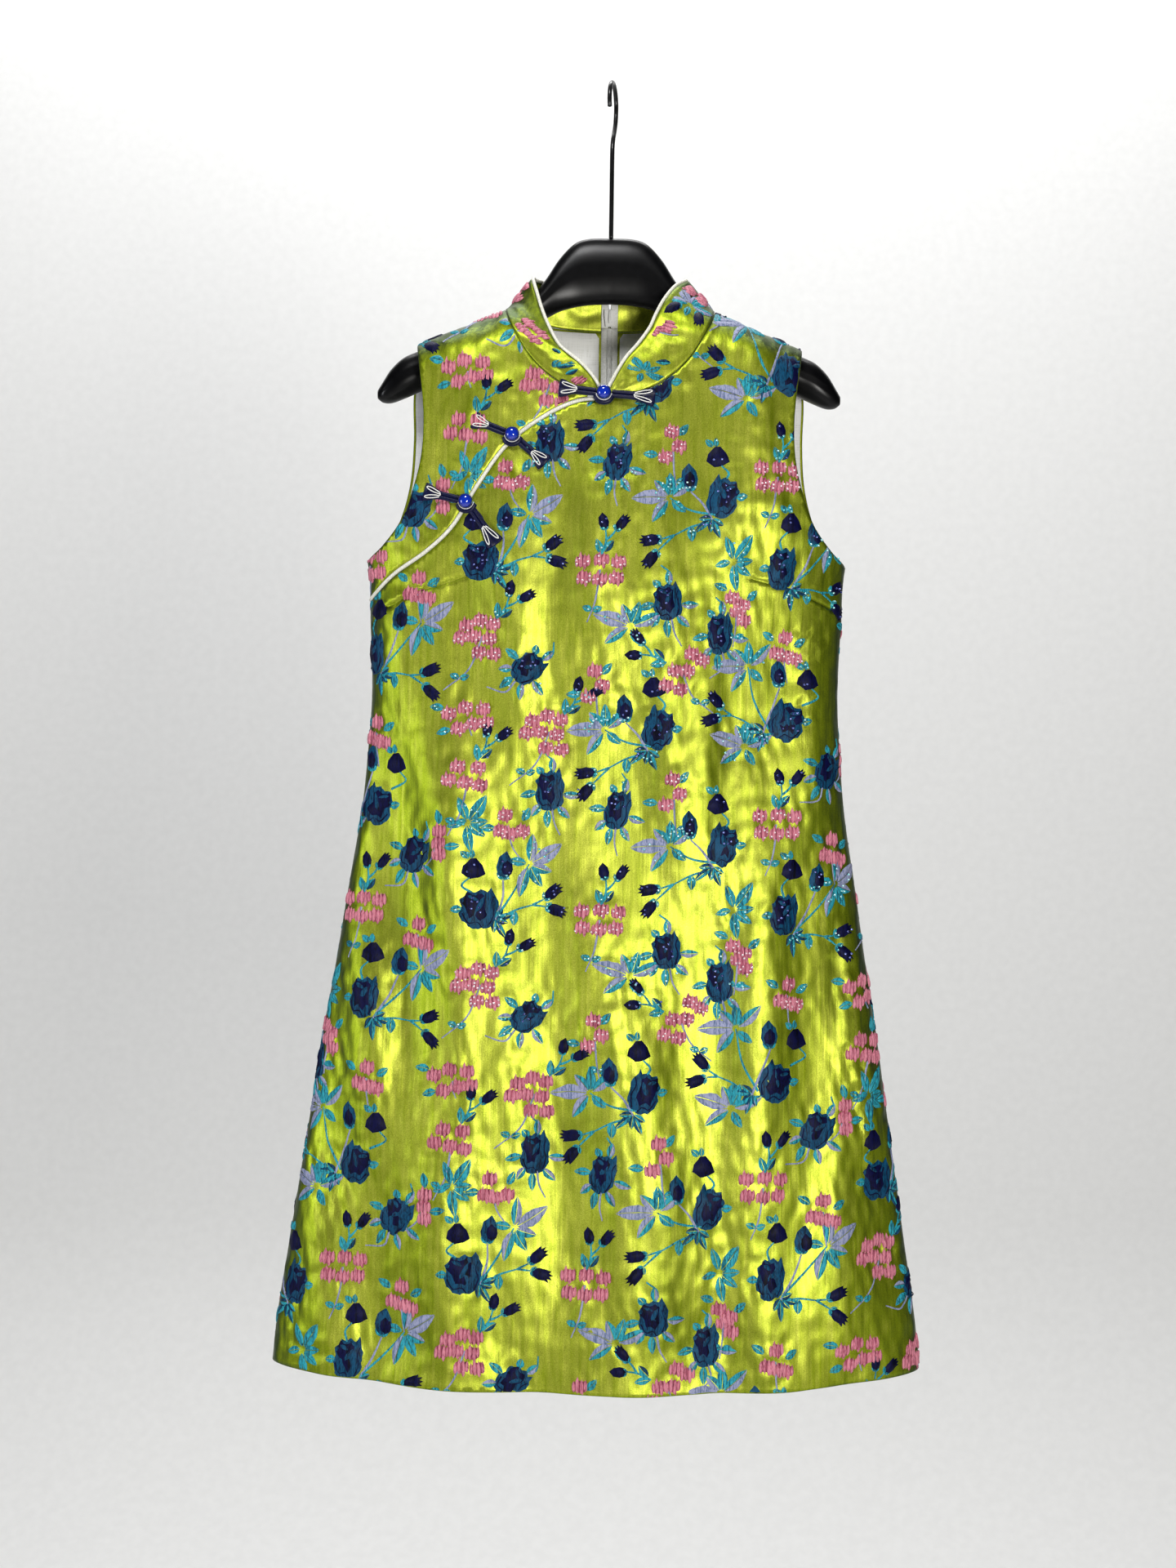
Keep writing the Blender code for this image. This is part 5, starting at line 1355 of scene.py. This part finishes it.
def cobalt_glass():
    """Polished cobalt glass under a clear, sharp highlight, with painted shade: its colour darkens
    toward its edge as the glass turns away from the view.
    """
    made, tree, shader = new_material("cobalt glass button")
    # painted shade: the colour darkens as the glass turns away from the view
    facing = add_node(tree, "LayerWeight", {"Blend": 0.4}).outputs["Facing"]
    stops = (0.1, "#0F30B4"), (0.5, "#071468"), (0.9, "#020628")
    set_inputs(tree, shader, {
        "Base Color": add_node(tree, "ValToRGB", {0: facing}, stops),
        "Roughness": 0.06, "IOR": 1.52, "Coat Weight": 1.0, "Coat Roughness": 0.02})
    return made


COBALT = cobalt_glass()
# Navy satin: nearly black in the shade, with a blue sheen along the top of each cord
NAVY_SATIN = grained(
    "navy satin cord", 0.8, 1.6, ((0.35, "#03041A"), (0.68, "#0B0F44")),
    {
        "Roughness": 0.42, "Specular IOR Level": 0.3, "Sheen Weight": 0.2,
        "Sheen Tint": linear("#6E7BD8"),
    },
    bump=(0.3, 0.0003),
)
# Bright white rayon cord, finer and whiter than the piping, with its twist as small ridges
WHITE_CORD = grained(
    "white rayon cord", 0.7, 0.7, ((0.35, "#E4E4DE"), (0.6, "#FCFCF8")), {"Roughness": 0.45},
    bump=(0.3, 0.0002), detail=1.0,
)


for name, ball, right_end, left_end, off, ball_off in FROGS:
    for word, end in (("right", right_end), ("left", left_end)):
        along = np.array(end, float) - ball
        length = np.linalg.norm(along)
        along /= length
        length -= ARM_START
        start, across = ball + along * ARM_START, np.array((-along[1], along[0]))
        rows, columns = 40, 22
        share = np.linspace(0, 1, rows + 1)
        half = smooth(ARM_OUTLINE, share)
        half[-1] = ARM_END
        flare, least = ease((share - ARM_PART) / ARM_PARTED), sqrt(ARM_LEAST)
        end_fall = least + (1 - least) * np.sqrt(np.clip((1 - share) / 0.07, 0, 1))
        spots, lifts = [], []  # two round cords, which flatten into a rim at the wide end
        for side in -np.cos(pi * np.arange(columns + 1) / columns):
            spots.append(start + np.outer(share * length, along) + np.outer(half * side, across))
            two = 1 - (abs(abs(side) - 0.5) / 0.5) ** 2.2
            slit = np.exp(-((side / 0.2) ** 2)) * 0.5
            rim = np.exp(-(((abs(side) - 0.78) / 0.24) ** 2))
            narrow = 0.35 + 0.65 * max(two, 0) ** 0.5
            wide = (0.42 + 0.58 * rim) * (1 - 0.7 * (abs(side) > 0.995)) - 0.2 * slit
            height = (narrow * (1 - flare) + wide * flare) * end_fall
            lifts.append(off + FROG_THICK * np.clip(height, ARM_LEAST, 1))
        spots, lifts = np.stack(spots, axis=1).reshape(-1, 2), np.stack(lifts, axis=1).reshape(-1)
        points = np.concatenate([on_front(spots, lifts), on_front(spots, off)])
        faces, count = halved(band_faces(rows + 1, columns + 1, closed=False)), len(spots)
        rim_faces = [(b, a, a + count, b + count) for a, b in rim_of(faces)]
        faces = [*faces.tolist(), *(faces[:, ::-1] + count).tolist(), *rim_faces]
        made = add_piece(f"frog_{name}_{word}_cords", points, faces, [NAVY_SATIN], sharp=1.2)
        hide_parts(f"frog_{name}_{word}_arm")
        reach, line = LOOP_LENGTH * length, []
        for side in (1, -1):
            for turn in np.linspace(0, 2 * pi, 41):
                out = reach * (1 - cos(turn)) / 2
                leg = side * (1 if turn <= pi else -1)
                bulge = LOOP_WIDTH * abs(sin(turn)) * sqrt(out / reach)
                apart = leg * (LEG_GAP * (1 - out / reach) + bulge)
                root = side * (LOOP_ROOT + out * LOOP_SPREAD)
                line.append((LOOP_START * length + out, root + apart))
            if side > 0:
                line.append((LOOP_START * length - 0.7, 0.0))
        line = start + np.array(line) @ (along, across)
        cord_off = off + FROG_THICK + CORD_RADIUS - LOOP_SUNK
        cord = round_cord(on_front(line, cord_off), CORD_RADIUS, 8)
        made = add_piece(f"frog_{name}_{word}_teardrops", *cord, [WHITE_CORD])
        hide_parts(f"frog_{name}_{word}_loops")
    place = FRONT.place(*np.array([ball], float).T)
    out = FRONT.normal(*place)[0]
    facing = np.array(Vector(out).to_track_quat("Z", "Y").to_matrix())
    centre = FRONT.point(*place)[0] + out * (ball_off + BALL_HALF_HEIGHT)
    rows, columns = 20, 40
    row, column = np.mgrid[0 : rows + 1, 0:columns].reshape(2, -1)
    fall, turn = pi * row / rows, 2 * pi * column / columns
    wide = BALL_RADIUS * np.sin(fall)
    local = [wide * np.cos(turn), wide * np.sin(turn), BALL_HALF_HEIGHT * np.cos(fall)]
    points = centre + np.stack(local, axis=1) @ facing.T
    faces = [f[::-1] for f in band_faces(rows + 1, columns)]
    made = add_piece(f"frog_{name}_button", points, faces, [COBALT])
    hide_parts(f"frog_{name}_ball")
    angle = np.radians(np.linspace(188, 352, 26))
    ring = ball + np.stack([np.cos(angle), np.sin(angle)], axis=1) * (BALL_RADIUS + BUTTON_CORD_GAP)
    cord = round_cord(on_front(ring, ball_off + BUTTON_CORD_OFF), BUTTON_CORD_RADIUS, 8)
    made = add_piece(f"frog_{name}_button_cord", *cord, [WHITE_CORD])
    across = np.linspace(-1, 1, 9)
    drop = KNOT_DROP + KNOT_SAG * np.sqrt(1 - across**2)
    knot = curve_through(ball + np.stack([KNOT_HALF_WIDTH * across, -drop], axis=1), 1.0)
    cord = round_cord(on_front(knot, ball_off + KNOT_OFF), KNOT_RADIUS, 12)
    made = add_piece(f"frog_{name}_knot", *cord, [NAVY_SATIN])

# ---- Zip --------------------------------------------------------------------------------------
# A white nylon coil zip is sewn between the two backs, with its coil on the inside. It is closed,
# with the slider at the top, and the slider's pull hangs outside, on the collar. The slider and
# its pull are the CAD's own solids, with rounded edges and a worn white enamel.

ZIP_HALF_TAPE, ZIP_TAPE, ZIP_EASE = 6.9, 0.8, 0.9
ZIP_TOP_Z, ZIP_CHAIN_TOP_Z, ZIP_BOTTOM_Z = -166, -196, -640
TAPE_END_HALF_SLOT = 1.2
SLIDER_Z, SLIDER_BODY = -187, 2.6  # its hole, and how deep its body is
TOOTH_PITCH, TOOTH_RADIUS, BRIDGE_RADIUS = 1.45, 0.42, 1.3


def back_at(z):
    z = np.atleast_1d(np.asarray(z, float))
    return BACK.point(*BACK.place(np.zeros(len(z)), z))[:, 1]


def centre_back(z):
    """The outer side of the dress at the centre back, body or collar."""
    z = np.atleast_1d(np.asarray(z, float))
    seam_z = BACK_NECK[0][1]
    base, top = back_at(seam_z)[0], COLLAR_BACK[-1][2]
    share = (z - seam_z) / (COLLAR_BACK[-1][3] - seam_z)
    collar_y = base + (top - base) * share + COLLAR_BOW * 4 * share * (1 - share) + COLLAR_WALL / 2
    return np.where(z < seam_z, back_at(np.minimum(z, seam_z)), collar_y)


# White woven tape, with the fine ribs of its weave across it
TAPE = grained(
    "white woven tape", 2.0, 0.6, ((0.3, "#E0E0DA"), (0.7, "#FAFAF6")), {"Roughness": 0.6},
    bump=(0.4, 0.0003),
)
# Milky white nylon, glossy along the top of each turn
COIL = grained(
    "white nylon coil", 3, 3, ((0.3, "#DDDDD8"), (0.7, "#F7F7F4")), {"Roughness": 0.3, "IOR": 1.53},
)
# White enamel over zinc, chipped grey in a few specks
ENAMEL = grained(
    "white enamel on zinc", 1.6, 1.6, ((0.66, "#FBFBF8"), (0.78, "#B9B9B6")),
    {"Roughness": 0.25, "Coat Weight": 0.4}, detail=4.0,
)
heights = np.linspace(ZIP_CHAIN_TOP_Z, ZIP_BOTTOM_Z, 150)
above = np.minimum(heights, BACK_NECK[0][1]) - 4
outer = np.minimum(centre_back(heights), centre_back(above)) - SHELL - ZIP_EASE
section = (  # x, and depth as a share of the tape's own
    (-ZIP_HALF_TAPE, 0), (ZIP_HALF_TAPE, 0), (ZIP_HALF_TAPE, 1), (0.3, 1), (0.0, 0.6), (-0.3, 1),
    (-ZIP_HALF_TAPE, 1),
)
points = [(x, y - ZIP_TAPE * deep, z) for z, y in zip(heights, outer) for x, deep in section]
wide, ends = len(section), tuple(range(len(points)))
faces = band_faces(len(heights), wide) + [ends[:wide][::-1], ends[-wide:]]
parts = [(points, faces, 0)]
tooth = np.array(((2.3, 0.15), (1.2, 0.75), (-0.9, 0.8), (-1.5, 0.35)))  # x, depth off the tape
teeth_z = np.arange(ZIP_CHAIN_TOP_Z - 1, ZIP_BOTTOM_Z + 4, -TOOTH_PITCH / 2)
teeth_y = np.interp(-teeth_z, -heights, outer) - ZIP_TAPE
for i, (z, y) in enumerate(zip(teeth_z, teeth_y)):
    line = np.insert(tooth * (1 if i % 2 else -1, -1) + (0, y), 2, z, axis=1)
    parts.append((*round_cord(line, TOOTH_RADIUS, 6), 1))
points, faces, kinds = joined(parts)
chain = add_piece("zip_chain_coil", points, faces, [TAPE, COIL], kinds)
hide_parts("zip_chain")
for side, word in SIDES:
    heights = np.linspace(ZIP_TOP_Z, ZIP_CHAIN_TOP_Z + SEAM_GAP, 16)
    outer = centre_back(heights) - COLLAR_WALL - ZIP_EASE
    section = (
        (TAPE_END_HALF_SLOT, 0.1), (ZIP_HALF_TAPE, 0), (ZIP_HALF_TAPE, ZIP_TAPE),
        (TAPE_END_HALF_SLOT, ZIP_TAPE - 0.1),
    )
    points = [(side * x, y - deep, z) for z, y in zip(heights, outer) for x, deep in section]
    ends = tuple(range(len(points)))
    faces = [f[::side] for f in (*band_faces(len(heights), 4), ends[3::-1], ends[-4:])]
    made = add_piece("zip_tape_top_" + word, points, faces, [TAPE], sharp=0.7)
    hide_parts("zip_tape_end_" + word)
top = centre_back(SLIDER_Z)[0] - COLLAR_WALL - ZIP_EASE - ZIP_TAPE - SEAM_GAP - SLIDER_BODY
bridge = [
    (0, top + 0.6, SLIDER_Z + 5.4), (0, top - 0.7, SLIDER_Z + 4), (0, top - 0.9, SLIDER_Z),
    (0, top - 0.7, SLIDER_Z - 3), (0, top + 0.6, SLIDER_Z - 5),
]
bridge = round_cord(curve_through(bridge, 0.8), BRIDGE_RADIUS, 12)
made = add_piece("zip_slider_bridge", *bridge, [ENAMEL])
for node in ("zip_slider", "zip_pull"):
    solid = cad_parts[node]
    solid.data.materials.clear()
    solid.data.materials.append(ENAMEL)
    bevel = solid.modifiers.new("worn edges", "BEVEL")
    bevel.width, bevel.segments, bevel.limit_method = 0.00025, 3, "ANGLE"

# ---- Hanger -----------------------------------------------------------------------------------
# A broad-shouldered hanger moulded in glossy black plastic, hollow, with a mould line round its
# middle and a steel wire hook screwed into the top of its hump.

HANGER_SECTIONS = (  # x, top z, bottom z, half depth
    (0, -128, -183, 10), (18, -128.6, -184, 10), (30, -132.5, -186, 10), (43, -146, -190, 10.5),
    (54, -163, -196, 11), (65, -177, -202.5, 11.5), (76, -188.8, -209, 13),
    (87, -195.0, -216, 15.5), (105, -202.4, -228, 17), (125, -210.6, -240, 17),
    (145, -218.8, -251.5, 16), (160, -224.9, -259, 15), (172, -230.5, -264.5, 14.5),
    (182, -240, -268, 12), (189, -251, -267.5, 8.5), (193, -257.5, -264.5, 4),
)
HANGER_SQUARENESS = 2.1
HANGER_SIDES = 48


# Glossy black ABS, with a faint orange peel from the mould
BLACK_PLASTIC = grained(
    "glossy black ABS", 6, 6, ((0.3, "#030304"), (0.7, "#08080A")),
    {"Roughness": 0.3, "Specular IOR Level": 0.22}, bump=(0.06, 0.0004),
)
even = np.linspace(-1, 1, 181)
stations = (np.sin(even * pi / 2) * 0.35 + even * 0.65) * HANGER_SECTIONS[-1][0]
angle = np.linspace(0, 2 * pi, HANGER_SIDES, endpoint=False)
across, up, power = np.cos(angle), np.sin(angle), HANGER_SQUARENESS
grow = (np.abs(across) ** power + np.abs(up) ** power) ** (-1 / power)
mould_line = 1 - 0.03 * np.exp(-((up / 0.06) ** 2))
top, bottom, deep = (smooth(HANGER_SECTIONS, np.abs(stations), k)[:, None] for k in (1, 2, 3))
y, z = across * grow * deep * mould_line, up * grow * (top - bottom) / 2 + (top + bottom) / 2
points = np.stack([np.broadcast_to(stations[:, None], y.shape), y, z], axis=2).reshape(-1, 3)
ends = tuple(range(len(points)))
faces = band_faces(len(stations), HANGER_SIDES)
faces += [ends[:HANGER_SIDES][::-1], ends[-HANGER_SIDES:]]
hanger = add_piece("hanger_moulding", points, faces, [BLACK_PLASTIC])
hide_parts("hanger_body")

# The hook is one length of black coated steel wire, with a round crown over the rail and a
# straight shank down to the hanger.

HOOK_RADIUS, HOOK_CROWN_RADIUS, HOOK_YAW = 1.9, 17, radians(80)
HOOK_SHANK = (
    (0.0, -127.6), (0.0, -100), (0.0, -75), (0.0, -58), (0.6, -52), (3.2, -44.5), (8.5, -37),
    (13.6, -29), (16.4, -21),
)


# Black coated steel: a dark, half-gloss lacquer
BLACK_WIRE = grained(
    "black coated steel wire", 3, 8, ((0.35, "#0A0A0B"), (0.75, "#1A1A1C")),
    {"Roughness": 0.32, "Metallic": 0.5, "Coat Weight": 0.3},
)
crown = [
    (HOOK_CROWN_RADIUS * cos(a), HOOK_RADIUS - HOOK_CROWN_RADIUS + HOOK_CROWN_RADIUS * sin(a))
    for a in np.linspace(-0.12, pi + 0.43, 14)
]
flat_line = curve_through(list(HOOK_SHANK) + crown, 1.6)
hook_line = flat_line @ ((cos(HOOK_YAW), sin(HOOK_YAW), 0), (0, 0, 1))
hook = add_piece("hook_wire", *round_cord(hook_line, HOOK_RADIUS, 16), [BLACK_WIRE])
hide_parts("hanger_hook")

# ---- Stage ------------------------------------------------------------------------------------
# The dress hangs before a seamless white sweep. A soft key stands low on the right, with fills at
# the left and above, and one more light brightens the sweep behind.

CAMERA_PLACE, CAMERA_ROLL, HALF_VIEW = (-0.013, -1.75, -0.584), radians(0.79), radians(20.53)
camera = bpy.data.cameras.new("camera")
camera.lens = camera.sensor_width / 2 / tan(HALF_VIEW)
eye = bpy.data.objects.new("camera", camera)
bpy.context.scene.collection.objects.link(eye)
eye.matrix_world = (
    Matrix.Translation(CAMERA_PLACE) @ Matrix.Rotation(pi / 2, 4, "X")
    @ Matrix.Rotation(CAMERA_ROLL, 4, "Z")
)
bpy.context.scene.camera = eye


def area_light(name, place, target, size, power, colour):
    lamp = bpy.data.lights.new(name, "AREA")
    lamp.shape, lamp.size, lamp.size_y = "RECTANGLE", *size
    lamp.energy, lamp.color = power, linear(colour)[:3]
    made = bpy.data.objects.new(name, lamp)
    bpy.context.scene.collection.objects.link(made)
    made.location = place
    made.rotation_euler = (Vector(target) - Vector(place)).to_track_quat("-Z", "Y").to_euler()


# A seamless white sweep: floor, bend and wall in one sheet
FLOOR_Z, WALL_Y, BEND, SWEEP_HALF, SWEEP_FRONT = -2.4, 3.2, 0.8, 6.0, -5.0
turns = np.linspace(0, pi / 2, 13)
line = [(SWEEP_FRONT, FLOOR_Z)]
line += [(WALL_Y - BEND + BEND * sin(t), FLOOR_Z + BEND * (1 - cos(t))) for t in turns]
line.append((WALL_Y, 5.0))
points = [(x, y, z) for y, z in line for x in (-SWEEP_HALF, SWEEP_HALF)]
faces = [(2 * i, 2 * i + 1, 2 * i + 3, 2 * i + 2) for i in range(len(line) - 1)]
mesh = bpy.data.meshes.new("backdrop")
mesh.from_pydata(points, [], faces)
mesh.shade_smooth()
mesh.materials.append(grained(
    "white paper backdrop", 20, 20, ((0.3, "#F4F4F3"), (0.7, "#F8F8F7")), {"Roughness": 0.9}))
backdrop = bpy.data.objects.new("backdrop", mesh)
bpy.context.scene.collection.objects.link(backdrop)

bpy.context.scene.view_settings.view_transform = "Standard"
area_light("key", (0.65, -2.35, -0.85), (0.02, 0, -0.74), (0.42, 0.7), 34, "#FFFDF8")
area_light("side fill", (-2.3, -1.1, -0.7), (-0.1, 0, -0.68), (0.4, 1.0), 18, "#F6F9FF")
area_light("top fill", (-0.2, -1.1, 1.0), (0, 0, -0.15), (0.5, 0.4), 17, "#FFFFFF")
area_light("backdrop light", (0, 1.4, 3.6), (0, 3.0, -0.2), (3.5, 1.0), 190, "#FFFFFF")

world = bpy.data.worlds.new("studio")
world.use_nodes = True
world.node_tree.nodes["Background"].inputs["Color"].default_value = linear("#FFFFFF")
world.node_tree.nodes["Background"].inputs["Strength"].default_value = 0.03
bpy.context.scene.world = world
